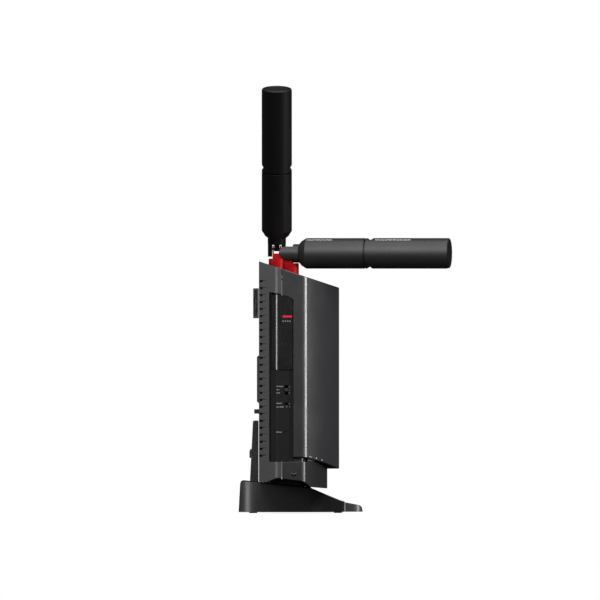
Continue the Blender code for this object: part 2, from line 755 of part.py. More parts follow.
def case_screws():
    """A flush screw on each side holds the chassis; head first, shank running inwards."""
    head = 0.0017
    shank = 0.0009
    profile = [(0, 0.0015), (head * 0.8, 0.0015), (head, 0.0010), (head, 0), (shank, 0),
               (shank, -0.0045), (0, -0.0045)]
    screw = baked(turned("screw", profile, finish=STEEL, segments=10))
    forward, up = SIDE_SCREW
    for name, side in (("case_screw_panel_side", -1), ("case_screw_far_side", 1)):
        place = Matrix.Translation((CASE_REAR + forward, side * (HALF_WIDTH - 0.003), up))
        add(name, screw, STEEL, place @ Matrix.Rotation(math.radians(-90 * side), 4, "X"))


# ---------------------------------------------------------------- stand

def stand_top_at(forward):
    return bottom_at(forward) - STAND_GAP


def stand_base():
    outline = round_corners([
        (STAND_REAR, -STAND_HALF_WIDTH, 0.016), (STAND_FRONT, -STAND_HALF_WIDTH, 0.032),
        (STAND_FRONT, STAND_HALF_WIDTH, 0.032), (STAND_REAR, STAND_HALF_WIDTH, 0.016)], 5)
    outline = [(CASE_REAR + a, b) for a, b in outline]
    piece = prism("stand_base", outline, 0.0, 0.04, "Z", CASE)
    side = [(STAND_REAR, STAND_UNDER), (STAND_FRONT, STAND_UNDER), (STAND_FRONT, 0.0092),
            (0.0697, 0.0105), (0.0581, 0.0152), (0.0431, stand_top_at(0.0431)),
            (-0.0140, stand_top_at(-0.0140)), (-0.0158, 0.0268), (-0.0163, 0.0255)]
    side = [(CASE_REAR + a, b) for a, b in side]
    keep_inside(piece, prism("stand_base_side", side, -0.1, 0.1, "Y"))
    cells = []
    for y0, y1 in ((-0.070, -0.026), (-0.022, 0.022), (0.026, 0.070)):
        cells.append(((CASE_REAR + 0.002, y0, -0.001), (CASE_REAR + 0.040, y1, 0.0185)))
    cut(piece, boxes("stand_base_cells", cells))
    pockets = [foot_corners(*foot, GAP) for foot in FEET.values()]
    cut(piece, boxes("stand_base_pockets", pockets))
    return piece


FEET = {"rear_foot": (-0.0085, 0.050), "front_foot": (0.0646, 0.034)}


def foot_corners(first, half_length, grow=0.0):
    return ((CASE_REAR + first - grow, -half_length - grow, -grow),
            (CASE_REAR + first + 0.0069 + grow, half_length + grow, 0.0022 + grow))


def feet():
    for name, (first, half_length) in FEET.items():
        box(name, *foot_corners(first, half_length), RUBBER)


def stand_lip():
    outline = round_corners([
        (STAND_FRONT + GAP, -0.036, 0.0), (LIP_FRONT, -0.036, 0.009),
        (LIP_FRONT, 0.036, 0.009), (STAND_FRONT + GAP, 0.036, 0.0)], 3)
    outline = [(CASE_REAR + a, b) for a, b in outline]
    piece = prism("stand_lip", outline, 0.0, 0.02, "Z", DARK)
    side = [(0.0740, STAND_UNDER), (LIP_FRONT, STAND_UNDER), (LIP_FRONT - 0.0005, 0.0045),
            (0.0872, 0.0062), (0.0740, 0.0088)]
    side = [(CASE_REAR + a, b) for a, b in side]
    keep_inside(piece, prism("stand_lip_side", side, -0.1, 0.1, "Y"))
    return piece


LATCH_LOW = 0.0473
LATCH_TOP = 0.0550
LATCH_WIDTH = 0.009


def stand_upright():
    base = stand_top_at(-0.0079) + GAP
    side = [(-0.0079, base), (-0.0006, stand_top_at(-0.0006) + GAP),
            (-0.0006, UPRIGHT_TOP), (-0.0046, UPRIGHT_TOP), (-0.0054, UPRIGHT_TOP - 0.0008)]
    side = [(CASE_REAR + a, b) for a, b in side]
    piece = prism("stand_upright", side, -UPRIGHT_HALF_WIDTH, UPRIGHT_HALF_WIDTH, "Y", CASE)
    cut(piece, box("stand_upright_window",
                   (CASE_REAR - 0.02, -LATCH_WIDTH - GAP, LATCH_LOW - GAP),
                   (CASE_REAR + 0.001, LATCH_WIDTH + GAP, LATCH_TOP + GAP)))
    return piece


def stand_latch():
    side = [(-0.0084, LATCH_LOW), (-0.0030, LATCH_LOW), (-0.0030, LATCH_TOP), (-0.0076, LATCH_TOP),
            (-0.0084, LATCH_TOP - 0.0020)]
    side = [(CASE_REAR + a, b) for a, b in side]
    return prism("stand_latch", side, -LATCH_WIDTH, LATCH_WIDTH, "Y", DARK)


# ---------------------------------------------------------------- antennas

def rounded_tab(half_width, end, top, steps=8):
    """Side outline of a tab with a round lower end centred at a height of end."""
    points = [(half_width, top), (-half_width, top)]
    for k in range(steps + 1):
        angle = math.pi + math.pi * k / steps
        points.append((half_width * math.cos(angle), end + half_width * math.sin(angle)))
    return points


def turret_mesh():
    """Red swivel base.  Its frame: swivel axis at x = y = 0, hinge pin at z = 0."""
    low = -PIN_ABOVE_TOP - 0.0058
    profile = [(0.0016, -FLANGE_BELOW_PIN), (TURRET_R - 0.0007, -FLANGE_BELOW_PIN),
               (TURRET_R, -FLANGE_BELOW_PIN - 0.0007), (TURRET_R, low), (0.0084, low),
               (0.0084, low - 0.0015), (0.0016, low - 0.0015)]
    piece = turned("turret", profile, closed=True, finish=RED)
    lug = [(x - PIN_SETBACK, -z) for x, z in rounded_tab(0.0027, 0.0, 0.0088)]
    foot = 0.0041
    lug = [(foot - PIN_SETBACK, -0.0088), (foot - PIN_SETBACK, -0.0040)] + \
        [(x, z) for x, z in lug[2:]][::-1] + \
        [(-foot - PIN_SETBACK, -0.0040), (-foot - PIN_SETBACK, -0.0088)]
    tab = prism("turret_lug", lug[::-1], -0.0037, 0.0037, "Y")
    join(piece, tab)
    cut(piece, box("turret_slot", (-0.02, -0.0026, -0.0040), (0.02, 0.0026, 0.01)))
    cut(piece, rods("turret_eye", [("Y", (-PIN_SETBACK, 0, 0), 0.02, 0.0013)]))
    return baked(piece)


def lower_section_mesh():
    """Forked neck and lower barrel.  Its frame: hinge pin at the origin, barrel along +Z."""
    bore = 0.0110
    seam = SEAM_L - GAP / 2
    profile = [(0, 0.0180), (bore, 0.0180), (bore, seam), (ANTENNA_R - 0.0003, seam),
               (ANTENNA_R, seam - 0.0003), (ANTENNA_R, 0.0164), (0.0123, 0.0146),
               (0.0106, 0.0124), (NECK_R + 0.0006, 0.0105), (NECK_R, 0.0098),
               (NECK_R, 0.0050), (0, 0.0050)]
    piece = turned("lower_section", profile, finish=DARK)
    for side in (-1, 1):
        near, far = sorted((side * 0.0040, side * 0.0085))
        ear = prism(f"ear_{side + 1}", rounded_tab(0.0058, -0.0009, 0.0099), near, far, "Y")
        keep_inside(ear, rods(f"ear_round_{side + 1}", [("Z", (0, 0, 0), 0.03, NECK_R - 0.00015)],
                              segments=32))
        join(piece, ear)
    join(piece, prism("tongue", rounded_tab(0.0020, 0.0, 0.0060), -0.0023, 0.0023, "Y"))
    cut(piece, rods("ear_eyes", [("Y", (0, 0, 0), 0.02, 0.0013)]))
    return baked(piece)


def upper_section_mesh():
    """Upper barrel, with a V notch cut straight across on two opposite sides."""
    seam = SEAM_L + GAP / 2
    spigot = 0.0107
    narrow = 0.0090
    bore = 0.0110
    profile = [(bore, TIP_L), (ANTENNA_R - EDGE_R, TIP_L)]
    for k in (1, 2, 3):
        angle = math.pi / 2 * (1 - k / 3)
        profile.append((ANTENNA_R - EDGE_R + EDGE_R * math.cos(angle),
                        TIP_L - EDGE_R + EDGE_R * math.sin(angle)))
    profile += [(ANTENNA_R, seam), (spigot, seam), (spigot, SEAM_L - 0.0060),
                (narrow, SEAM_L - 0.0060), (narrow, NOTCH_L + 0.0040), (bore, NOTCH_L + 0.0060)]
    piece = turned("upper_section", profile, closed=True, finish=DARK)
    mouth = 0.0020                   # how far the wedges stand out of the barrel
    wide = NOTCH_HALF * (NOTCH_DEEP + mouth) / NOTCH_DEEP
    for side in (-1, 1):
        wedge = [(side * (ANTENNA_R - NOTCH_DEEP), NOTCH_L),
                 (side * (ANTENNA_R + mouth), NOTCH_L - wide),
                 (side * (ANTENNA_R + mouth), NOTCH_L + wide)]
        cut(piece, prism(f"notch_{side + 1}", wedge[::side], -0.014, 0.014, "Y"))
    return baked(piece)


def tip_cap_mesh():
    face = TIP_L - 0.0003
    rim = 0.0110 - GAP
    profile = [(0, face), (rim - 0.0003, face), (rim, face - 0.0003), (rim, face - 0.0020),
               (0, face - 0.0020)]
    return baked(turned("tip_cap", profile, finish=DARK))


def antennas():
    """Four antennas from shared meshes: the outer two folded forwards, the inner two upright.

    The upper sections of the inner two are turned a quarter, so their notches show at the sides.
    """
    turret = turret_mesh()
    lower = lower_section_mesh()
    upper = upper_section_mesh()
    cap = tip_cap_mesh()
    pin = baked(rods("pin", [("Y", (0, 0, 0), 0.0150, 0.0010)], STEEL))
    low_plate = baked(box("low_plate", (-0.0004, -0.0080, 0.0185), (0.0004, 0.0080, 0.0600), BOARD))
    high_plate = baked(box("high_plate", (-0.0004, -0.0075, 0.0785), (0.0004, 0.0075, 0.1370),
                           BOARD))
    layout = [("front", -OUTER_Y, -OUTER_TURN, OUTER_FOLD), ("rear", -INNER_Y, -90, INNER_FOLD),
              ("rear", INNER_Y, 90, INNER_FOLD), ("front", OUTER_Y, OUTER_TURN, OUTER_FOLD)]
    for index, (row, y, heading, fold) in enumerate(layout, start=1):
        name = f"antenna_{index}"
        swivel = bpy.data.objects.new(name + "_swivel_axis", None)
        ROUTER.objects.link(swivel)
        swivel.location = (CASE_REAR + ROWS[row], y, top_at(ROWS[row]) + PIN_ABOVE_TOP)
        swivel.rotation_euler = (0, 0, math.radians(heading))
        hinge = bpy.data.objects.new(name + "_hinge_axis", None)
        ROUTER.objects.link(hinge)
        hinge.parent = swivel
        hinge.location = (-PIN_SETBACK, 0, 0)
        hinge.rotation_euler = (0, math.radians(fold), 0)
        add(name + "_swivel_base", turret, RED).parent = swivel
        add(name + "_hinge_pin", pin, STEEL).parent = hinge
        add(name + "_lower_section", lower, DARK).parent = hinge
        add(name + "_lower_element", low_plate, BOARD).parent = hinge
        quarter = math.radians(90 if row == "rear" else 0)
        for part, mesh, finish in (("upper_section", upper, DARK),
                                   ("upper_element", high_plate, BOARD)):
            turning = add(f"{name}_{part}", mesh, finish)
            turning.parent = hinge
            turning.rotation_euler = (0, 0, quarter)
        add(name + "_tip_cap", cap, DARK).parent = hinge


rear_case()
front_cover()
lower_chassis()
top_panel()
top_grille()
bottom_cover()
control_panel()
pairing_button()
small_controls()
port_panel()
network_socket("internet_port", NETWORK_PORTS[:1])
network_socket("lan_ports", NETWORK_PORTS[1:])
usb_socket()
power_jack()
card_holder()
light_pipes()
electronics()
case_screws()
stand_base()
stand_lip()
stand_upright()
stand_latch()
feet()
antennas()
bpy.context.view_layer.update()
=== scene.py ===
# %% [markdown]
# # A wireless router in its desk stand
#
# The router stands upright in a low stand. Its case is a rear tub and a curved front cover, and
# four round antennas fold and turn on red swivel bases along the top. The measured model holds
# every size and every joint. This notebook gives each moulding its rounded edges, its small
# details and its finish, and sets up a plain studio around it.

# %% Load the measured model
import math

import bmesh
import bpy
from mathutils import Matrix, Vector


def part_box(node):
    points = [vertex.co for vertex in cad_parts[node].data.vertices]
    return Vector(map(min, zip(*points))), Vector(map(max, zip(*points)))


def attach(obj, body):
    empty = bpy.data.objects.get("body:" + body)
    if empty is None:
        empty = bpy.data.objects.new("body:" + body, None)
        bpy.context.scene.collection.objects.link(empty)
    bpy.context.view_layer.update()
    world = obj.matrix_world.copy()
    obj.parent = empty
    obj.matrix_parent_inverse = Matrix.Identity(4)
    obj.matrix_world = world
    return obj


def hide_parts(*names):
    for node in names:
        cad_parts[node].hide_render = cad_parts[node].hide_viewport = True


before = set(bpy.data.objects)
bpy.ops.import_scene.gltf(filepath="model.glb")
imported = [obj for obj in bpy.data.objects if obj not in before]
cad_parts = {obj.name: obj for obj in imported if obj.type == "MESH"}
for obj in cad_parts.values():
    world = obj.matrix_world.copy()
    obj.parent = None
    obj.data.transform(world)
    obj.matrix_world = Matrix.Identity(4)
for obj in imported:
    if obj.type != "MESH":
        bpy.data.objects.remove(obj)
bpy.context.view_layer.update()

# %% [markdown]
# ## Camera
#
# The router is seen square on to the side that carries its control panel, with the front cover
# to the right. A long lens far away keeps upright edges upright, as in a catalogue picture.
# The field of view is stated as a width at the router's side, which gives the lens from the
# distance by similar triangles.

# %% Camera
FIELD = 0.516
DISTANCE = 23.0
SENSOR = 36.0
LOOK_AT = Vector((-0.0389, -0.118, 0.1838))

camera_data = bpy.data.cameras.new("catalogue_camera")
camera_data.sensor_width = SENSOR
camera_data.lens = SENSOR * DISTANCE / FIELD
camera_data.clip_end = 60.0
camera = bpy.data.objects.new("catalogue_camera", camera_data)
camera.location = LOOK_AT - Vector((0, DISTANCE, 0))
camera.rotation_euler = (math.radians(90), 0, 0)
bpy.context.scene.collection.objects.link(camera)
bpy.context.scene.camera = camera
print("lens:", round(camera_data.lens), "mm")

# %% [markdown]
# ## Studio
#
# Black plastic shows little of its own colour: what the eye reads is what it mirrors. So the
# studio is mostly a few large soft panels: one overhead, one high in front, a tall one on either
# side, both a little towards the camera, and a weak one that is kept for the upright antennas.
# The backdrop is white where the camera sees it and dim for everything else, so that it doesn't
# wash out the black mouldings.

# %% Soft panels
CENTRE = Vector((-0.03, 0.0, 0.15))


def soft_panel(name, place, size, watts):
    """A rectangular soft light of a given width and height, turned towards the router."""
    data = bpy.data.lights.new(name, "AREA")
    data.shape = "RECTANGLE"
    data.size, data.size_y = size
    data.energy = watts
    lamp = bpy.data.objects.new(name, data)
    lamp.location = place
    lamp.rotation_euler = (CENTRE - lamp.location).to_track_quat("-Z", "Y").to_euler()
    bpy.context.scene.collection.objects.link(lamp)
    return lamp


soft_panel("overhead_panel", Vector((0.0, -0.30, 1.30)), (1.2, 1.0), 10)
high_panel = soft_panel("high_front_panel", Vector((0.0, -1.10, 0.82)), (1.2, 0.7), 18)
left_panel = soft_panel("left_panel", Vector((-1.15, -0.66, 0.22)), (0.40, 1.0), 20)
right_panel = soft_panel("right_panel", Vector((1.15, -0.52, 0.22)), (0.22, 1.0), 42)
upright_panel = soft_panel("upright_panel", Vector((1.10, -0.45, 0.40)), (0.40, 0.8), 2.2)

# %% Backdrop and floor
world = bpy.data.worlds.new("studio_world")
bpy.context.scene.world = world
world.use_nodes = True
world_tree = world.node_tree
world_tree.nodes.clear()
world_out = world_tree.nodes.new("ShaderNodeOutputWorld")
seen = world_tree.nodes.new("ShaderNodeBackground")
seen.inputs["Color"].default_value = (1, 1, 1, 1)
seen.inputs["Strength"].default_value = 1.0
unseen = world_tree.nodes.new("ShaderNodeBackground")
unseen.inputs["Color"].default_value = (1, 1, 1, 1)
unseen.inputs["Strength"].default_value = 0.06
path = world_tree.nodes.new("ShaderNodeLightPath")
either = world_tree.nodes.new("ShaderNodeMixShader")
world_tree.links.new(path.outputs["Is Camera Ray"], either.inputs[0])
world_tree.links.new(unseen.outputs[0], either.inputs[1])
world_tree.links.new(seen.outputs[0], either.inputs[2])
world_tree.links.new(either.outputs[0], world_out.inputs["Surface"])

bpy.context.scene.view_settings.view_transform = "Standard"
print("studio: 5 panels, white backdrop")

# %% [markdown]
# ## Finishes
#
# Nearly every part is injection moulded plastic. The mould's surface leaves a very fine grain,
# so each plastic gets a small bump from noise at the size of that grain, a slow variation of
# its gloss, as handling and flow leave it, and a faint variation of its colour. The noise reads
# Object coordinates, so it stays on the piece as the piece moves.

# %% A moulded plastic
def moulded(name, colour, roughness, grain=0.00035, depth=0.00004, unevenness=0.06, metallic=0.0,
            specular=0.5, mottle=0.12, coat=0.0):
    """Plastic with a fine grain; grain and depth are in metres."""
    made = bpy.data.materials.new(name)
    made.use_nodes = True
    tree = made.node_tree
    shader = tree.nodes["Principled BSDF"]
    shader.inputs["Metallic"].default_value = metallic
    shader.inputs["Specular IOR Level"].default_value = specular
    shader.inputs["Coat Weight"].default_value = coat
    place = tree.nodes.new("ShaderNodeTexCoord")

    fine = tree.nodes.new("ShaderNodeTexNoise")
    fine.inputs["Scale"].default_value = 1 / grain
    fine.inputs["Detail"].default_value = 3.0
    tree.links.new(place.outputs["Object"], fine.inputs["Vector"])
    bump = tree.nodes.new("ShaderNodeBump")
    bump.inputs["Strength"].default_value = 0.6
    bump.inputs["Distance"].default_value = depth
    tree.links.new(fine.outputs["Fac"], bump.inputs["Height"])
    tree.links.new(bump.outputs["Normal"], shader.inputs["Normal"])

    slow = tree.nodes.new("ShaderNodeTexNoise")
    slow.inputs["Scale"].default_value = 45.0
    slow.inputs["Detail"].default_value = 5.0
    tree.links.new(place.outputs["Object"], slow.inputs["Vector"])
    gloss = tree.nodes.new("ShaderNodeMapRange")
    gloss.inputs["From Min"].default_value = 0.3
    gloss.inputs["From Max"].default_value = 0.7
    gloss.inputs["To Min"].default_value = roughness - unevenness / 2
    gloss.inputs["To Max"].default_value = roughness + unevenness / 2
    tree.links.new(slow.outputs["Fac"], gloss.inputs["Value"])
    tree.links.new(gloss.outputs["Result"], shader.inputs["Roughness"])

    tint = tree.nodes.new("ShaderNodeMix")
    tint.data_type = "RGBA"
    tint.inputs[6].default_value = (*[c * (1 - mottle) for c in colour], 1)
    tint.inputs[7].default_value = (*[c * (1 + mottle) for c in colour], 1)
    tree.links.new(fine.outputs["Fac"], tint.inputs[0])
    tree.links.new(tint.outputs[2], shader.inputs["Base Color"])
    return made


CASE = moulded("case_textured_black", (0.016, 0.016, 0.017), 0.50, grain=0.0005, depth=0.00006)
COVER = moulded("cover_satin_grey", (0.011, 0.011, 0.012), 0.33, grain=0.00030, depth=0.00003)
DARK = moulded("matte_black", (0.006, 0.006, 0.0065), 0.50)
PANEL = moulded("panel_rough_black", (0.003, 0.003, 0.0032), 0.62, grain=0.0004, depth=0.00006,
                specular=0.12)
BUTTON = moulded("button_satin_black", (0.002, 0.002, 0.0022), 0.27, grain=0.0003, depth=0.00002)
CHASSIS = moulded("chassis_black", (0.003, 0.003, 0.0032), 0.40)
STAND = moulded("stand_textured_black", (0.020, 0.020, 0.021), 0.40, grain=0.0005, depth=0.00006)
# Painted shade: the grey of the sheet behind the vent slots stands for their dim inside.
SLOT_SHADE = moulded("vent_screen_grey", (0.075, 0.075, 0.078), 0.70, specular=0.1)
ANTENNA = moulded("antenna_black", (0.012, 0.012, 0.0125), 0.50, grain=0.0003, depth=0.00003)
RED = moulded("swivel_red", (0.18, 0.001, 0.002), 0.45, grain=0.0004, depth=0.00002,
              unevenness=0.08, specular=0.05, mottle=0.05)
print("plastics:", len(bpy.data.materials))

# %% [markdown]
# Metals, rubber, the printed board and the lenses are variations on the same idea. Plated steel
# gets a fine even grain; the board is green solder mask over copper tracks, drawn as a blocky
# pattern; lenses glow a little because their lights are on.

# %% Metals, board, rubber, card and lenses
STEEL = moulded("plated_steel", (0.62, 0.62, 0.64), 0.30, grain=0.0002, depth=0.00001,
                metallic=1.0, mottle=0.06)
BLACK_STEEL = moulded("black_steel", (0.06, 0.06, 0.062), 0.40, grain=0.0002, depth=0.00001,
                      metallic=0.8)
GOLD = moulded("gold_contacts", (0.80, 0.58, 0.22), 0.25, grain=0.0002, depth=0.000005,
               metallic=1.0, mottle=0.05)
CAST = moulded("cast_aluminium", (0.66, 0.67, 0.69), 0.42, grain=0.0008, depth=0.00008,
               metallic=1.0)
RUBBER = moulded("rubber", (0.012, 0.012, 0.012), 0.85, grain=0.0007, depth=0.00008)
CARD = moulded("card_stock", (0.62, 0.62, 0.60), 0.55, grain=0.0006, depth=0.00002, mottle=0.04)
BRIGHT_PRINT = moulded("pale_print", (0.75, 0.75, 0.76), 0.55, grain=0.0003, depth=0.00001)
PRINT = moulded("grey_print", (0.17, 0.17, 0.175), 0.55, grain=0.0003, depth=0.00001)
# Painted shade: the antennas' pale print, darkened for the upright rear row where less light falls.
SHADED_PRINT = moulded("faint_print", (0.085, 0.085, 0.088), 0.55, grain=0.0003, depth=0.00001)


def board_finish():
    """Green solder mask with paler tracks under it."""
    made = moulded("solder_mask", (0.012, 0.11, 0.045), 0.32, grain=0.0012, depth=0.00002)
    tree = made.node_tree
    shader = tree.nodes["Principled BSDF"]
    place = tree.nodes["Texture Coordinate"]
    tracks = tree.nodes.new("ShaderNodeTexBrick")
    tracks.inputs["Scale"].default_value = 90.0
    tracks.inputs["Color1"].default_value = (0.010, 0.085, 0.035, 1)
    tracks.inputs["Color2"].default_value = (0.014, 0.120, 0.050, 1)
    tracks.inputs["Mortar"].default_value = (0.050, 0.220, 0.090, 1)
    tracks.inputs["Mortar Size"].default_value = 0.03
    turn = tree.nodes.new("ShaderNodeMapping")
    turn.inputs["Rotation"].default_value = (0, math.radians(90), 0)
    tree.links.new(place.outputs["Object"], turn.inputs["Vector"])
    tree.links.new(turn.outputs["Vector"], tracks.inputs["Vector"])
    tree.links.new(tracks.outputs["Color"], shader.inputs["Base Color"])
    return made


def lens(name, colour, glow):
    made = moulded(name, colour, 0.18, grain=0.0009, depth=0.00001, mottle=0.04)
    shader = made.node_tree.nodes["Principled BSDF"]
    shader.inputs["Emission Color"].default_value = (*colour, 1)
    shader.inputs["Emission Strength"].default_value = glow
    return made


BOARD = board_finish()
RED_LENS = lens("status_light_red", (0.30, 0.006, 0.022), 0.50)
WHITE_LENS = lens("light_pipe_white", (0.30, 0.30, 0.31), 0.30)
print("materials:", len(bpy.data.materials))

# %% [markdown]
# ## Modelling helpers
#
# Most mouldings start as a flat outline. A few corner points make one face, a vertex bevel
# rounds each corner by its own radius, and an extrusion gives the thickness. The distance that
# a vertex bevel runs along each edge is the radius over the tangent of half the corner's angle.

# %% Outlines
def round_corner(bm, vert, radius, segments=8):
    """Round one corner of a flat outline."""
    sides = [edge.other_vert(vert).co - vert.co for edge in vert.link_edges]
    half = sides[0].angle(sides[1]) / 2
    bmesh.ops.bevel(bm, geom=[vert], offset=radius / math.tan(half), offset_type="ABSOLUTE",
                    affect="VERTICES", segments=segments, profile=0.5, material=-1,
                    clamp_overlap=False)


def outline_face(bm, corners, plane="XY", segments=8):
    """One face from (a, b, radius) corners in a plane; the third coordinate is zero."""
    lift = {"XY": lambda a, b: (a, b, 0), "XZ": lambda a, b: (a, 0, b),
            "YZ": lambda a, b: (0, a, b)}[plane]
    verts = [bm.verts.new(lift(a, b)) for a, b, _ in corners]
    bm.faces.new(verts)
    for vert, (_, _, radius) in zip(verts, corners):
        if radius > 0:
            round_corner(bm, vert, radius, segments)


def extrude(bm, vector):
    """Give every face of a flat bmesh a thickness, and close it."""
    start = list(bm.faces)
    made = bmesh.ops.extrude_face_region(bm, geom=start, use_keep_orig=True)
    moved = [item for item in made["geom"] if isinstance(item, bmesh.types.BMVert)]
    bmesh.ops.translate(bm, verts=moved, vec=vector)
    bmesh.ops.recalc_face_normals(bm, faces=bm.faces)


def trim(bm, point, outward):
    """Cut away what lies beyond a plane and close the cut."""
    geometry = bm.verts[:] + bm.edges[:] + bm.faces[:]
    bmesh.ops.bisect_plane(bm, geom=geometry, dist=1e-7, plane_co=point, plane_no=outward,
                           clear_outer=True)
    rim = [edge for edge in bm.edges if edge.is_boundary]
    bmesh.ops.holes_fill(bm, edges=rim, sides=0)
    bmesh.ops.recalc_face_normals(bm, faces=bm.faces)


def soften(bm, width, segments=3, sharper_than=25, where=None):
    """Round every edge that turns by more than an angle; where picks among them."""
    limit = math.radians(sharper_than)
    chosen = [edge for edge in bm.edges if len(edge.link_faces) == 2
              and edge.calc_face_angle(0) > limit and (where is None or where(edge))]
    bmesh.ops.bevel(bm, geom=chosen, offset=width, offset_type="OFFSET", affect="EDGES",
                    segments=segments, profile=0.5, material=-1, clamp_overlap=True)


# %% Pieces and cutters
def linked(name, bm):
    mesh = bpy.data.meshes.new(name)
    bm.to_mesh(mesh)
    bm.free()
    made = bpy.data.objects.new(name, mesh)
    bpy.context.scene.collection.objects.link(made)
    return made


def prism(name, corners, low, high, plane="XY", segments=8, edge=0.0):
    """An outline given a thickness along the plane's normal, from low to high."""
    bm = bmesh.new()
    outline_face(bm, corners, plane, segments)
    axis = {"XY": Vector((0, 0, 1)), "XZ": Vector((0, 1, 0)), "YZ": Vector((1, 0, 0))}[plane]
    bmesh.ops.translate(bm, verts=bm.verts, vec=axis * low)
    extrude(bm, axis * (high - low))
    if edge:
        soften(bm, edge)
    return linked(name, bm)


def block(name, low, high, edge=0.0, segments=2):
    """A box between two corners, with its edges rounded."""
    bm = bmesh.new()
    low, high = Vector(low), Vector(high)
    size = Matrix.Diagonal((*(high - low), 1))
    bmesh.ops.create_cube(bm, size=1, matrix=Matrix.Translation((low + high) / 2) @ size)
    if edge:
        bmesh.ops.bevel(bm, geom=bm.edges[:], offset=edge, offset_type="OFFSET", affect="EDGES",
                        segments=segments, profile=0.5, material=-1)
    return linked(name, bm)


def boxes(name, corners):
    """Many boxes in one object, each from its low to its high corner."""
    bm = bmesh.new()
    for low, high in corners:
        low, high = Vector(low), Vector(high)
        size = Matrix.Diagonal((*(high - low), 1))
        bmesh.ops.create_cube(bm, size=1, matrix=Matrix.Translation((low + high) / 2) @ size)
    return linked(name, bm)


def rod(name, place, radius, length, segments=24):
    """A cylinder along its own Z."""
    bm = bmesh.new()
    bmesh.ops.create_cone(bm, cap_ends=True, segments=segments, radius1=radius, radius2=radius,
                          depth=length, matrix=place)
    return linked(name, bm)


def shape_with(piece, operation, *tools):
    """Cut, keep or join with other shapes, bake the result and remove the tools."""
    for tool in tools:
        step = piece.modifiers.new("shape", "BOOLEAN")
        step.operation = operation
        step.solver = "EXACT"
        step.object = tool
    bpy.context.view_layer.update()
    evaluated = piece.evaluated_get(bpy.context.evaluated_depsgraph_get())
    piece.data = bpy.data.meshes.new_from_object(evaluated)
    piece.modifiers.clear()
    for tool in tools:
        bpy.data.objects.remove(tool, do_unlink=True)
    return piece


def cut(piece, *tools):
    return shape_with(piece, "DIFFERENCE", *tools)


made_pieces = []


def finish(piece, material, body, slot, *nodes, smooth=30, edge=0.0):
    """Give a piece its material and shading, and hang it on its body."""
    name = piece.name
    piece.data.name = name
    piece.data.materials.clear()
    piece.data.materials.append(material)
    piece.data.shade_smooth()
    piece.data.set_sharp_from_angle(angle=math.radians(smooth))
    if edge:
        rounding = piece.modifiers.new("rounding", "BEVEL")
        rounding.width = edge
        rounding.segments = 2
        rounding.limit_method = "ANGLE"
        rounding.angle_limit = math.radians(35)
        rounding.harden_normals = False
    even = piece.modifiers.new("even_shading", "WEIGHTED_NORMAL")
    even.keep_sharp = True
    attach(piece, body)
    if nodes:
        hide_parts(*nodes)
    made_pieces.append(piece)
    return piece


print("helpers ready")

# %% [markdown]
# ## The case's shape
#
# Seen from above the case is flat at the rear, has an angled corner on each side, runs straight,
# turns, and curves gently to a narrow front. Seen from the side its top falls towards the
# front and its underside falls a little less. Both halves share that plan, so one helper draws
# it: one side is drawn point by point, the gentle curve is a vertex spun about its centre, and
# the other side is its mirror image. Vertex bevels round the corners.

# %% Plan of the case
CASE_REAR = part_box("rear_case")[0].x
HALF_WIDTH = 0.150
OUTSIDE = HALF_WIDTH + 0.010
REAR_FLAT = 0.132
REAR_CORNER = 0.0155
FRONT_CORNER = 0.039
FRONT_FLAT = 0.094
FRONT_EDGE = (0.0006, 0.0045)
CASE_DEPTH = 0.069
CHASSIS_DEPTH = 0.0598
WALL = 0.0025
GAP = 0.0003
SEAM = 0.0195
TOP_REAR = 0.2171
TOP_SLOPE = math.radians(18.2)
BOTTOM_REAR = 0.0277
BOTTOM_SLOPE = math.atan(0.104)
FRONT_TURN = 24.0
FRONT_ROUNDING = 0.0090


def curve_centre(depth=CASE_DEPTH):
    """Centre of the curved corner, with the two points where the curve starts and ends."""
    start = Vector((CASE_REAR + FRONT_CORNER, HALF_WIDTH, 0))
    end = Vector((CASE_REAR + depth - FRONT_EDGE[0], FRONT_FLAT + FRONT_EDGE[1], 0))
    half = math.radians(FRONT_TURN / 2)
    radius = (end - start).length / (2 * math.sin(half))
    along = (end - start).normalized()
    out = Vector((-along.y, along.x, 0))
    return (start + end) / 2 - out * radius * math.cos(half), start, end


def turn_at(vert):
    """How far the outline turns at one of its vertices."""
    first, second = [edge.other_vert(vert).co - vert.co for edge in vert.link_edges]
    return math.pi - first.angle(second)


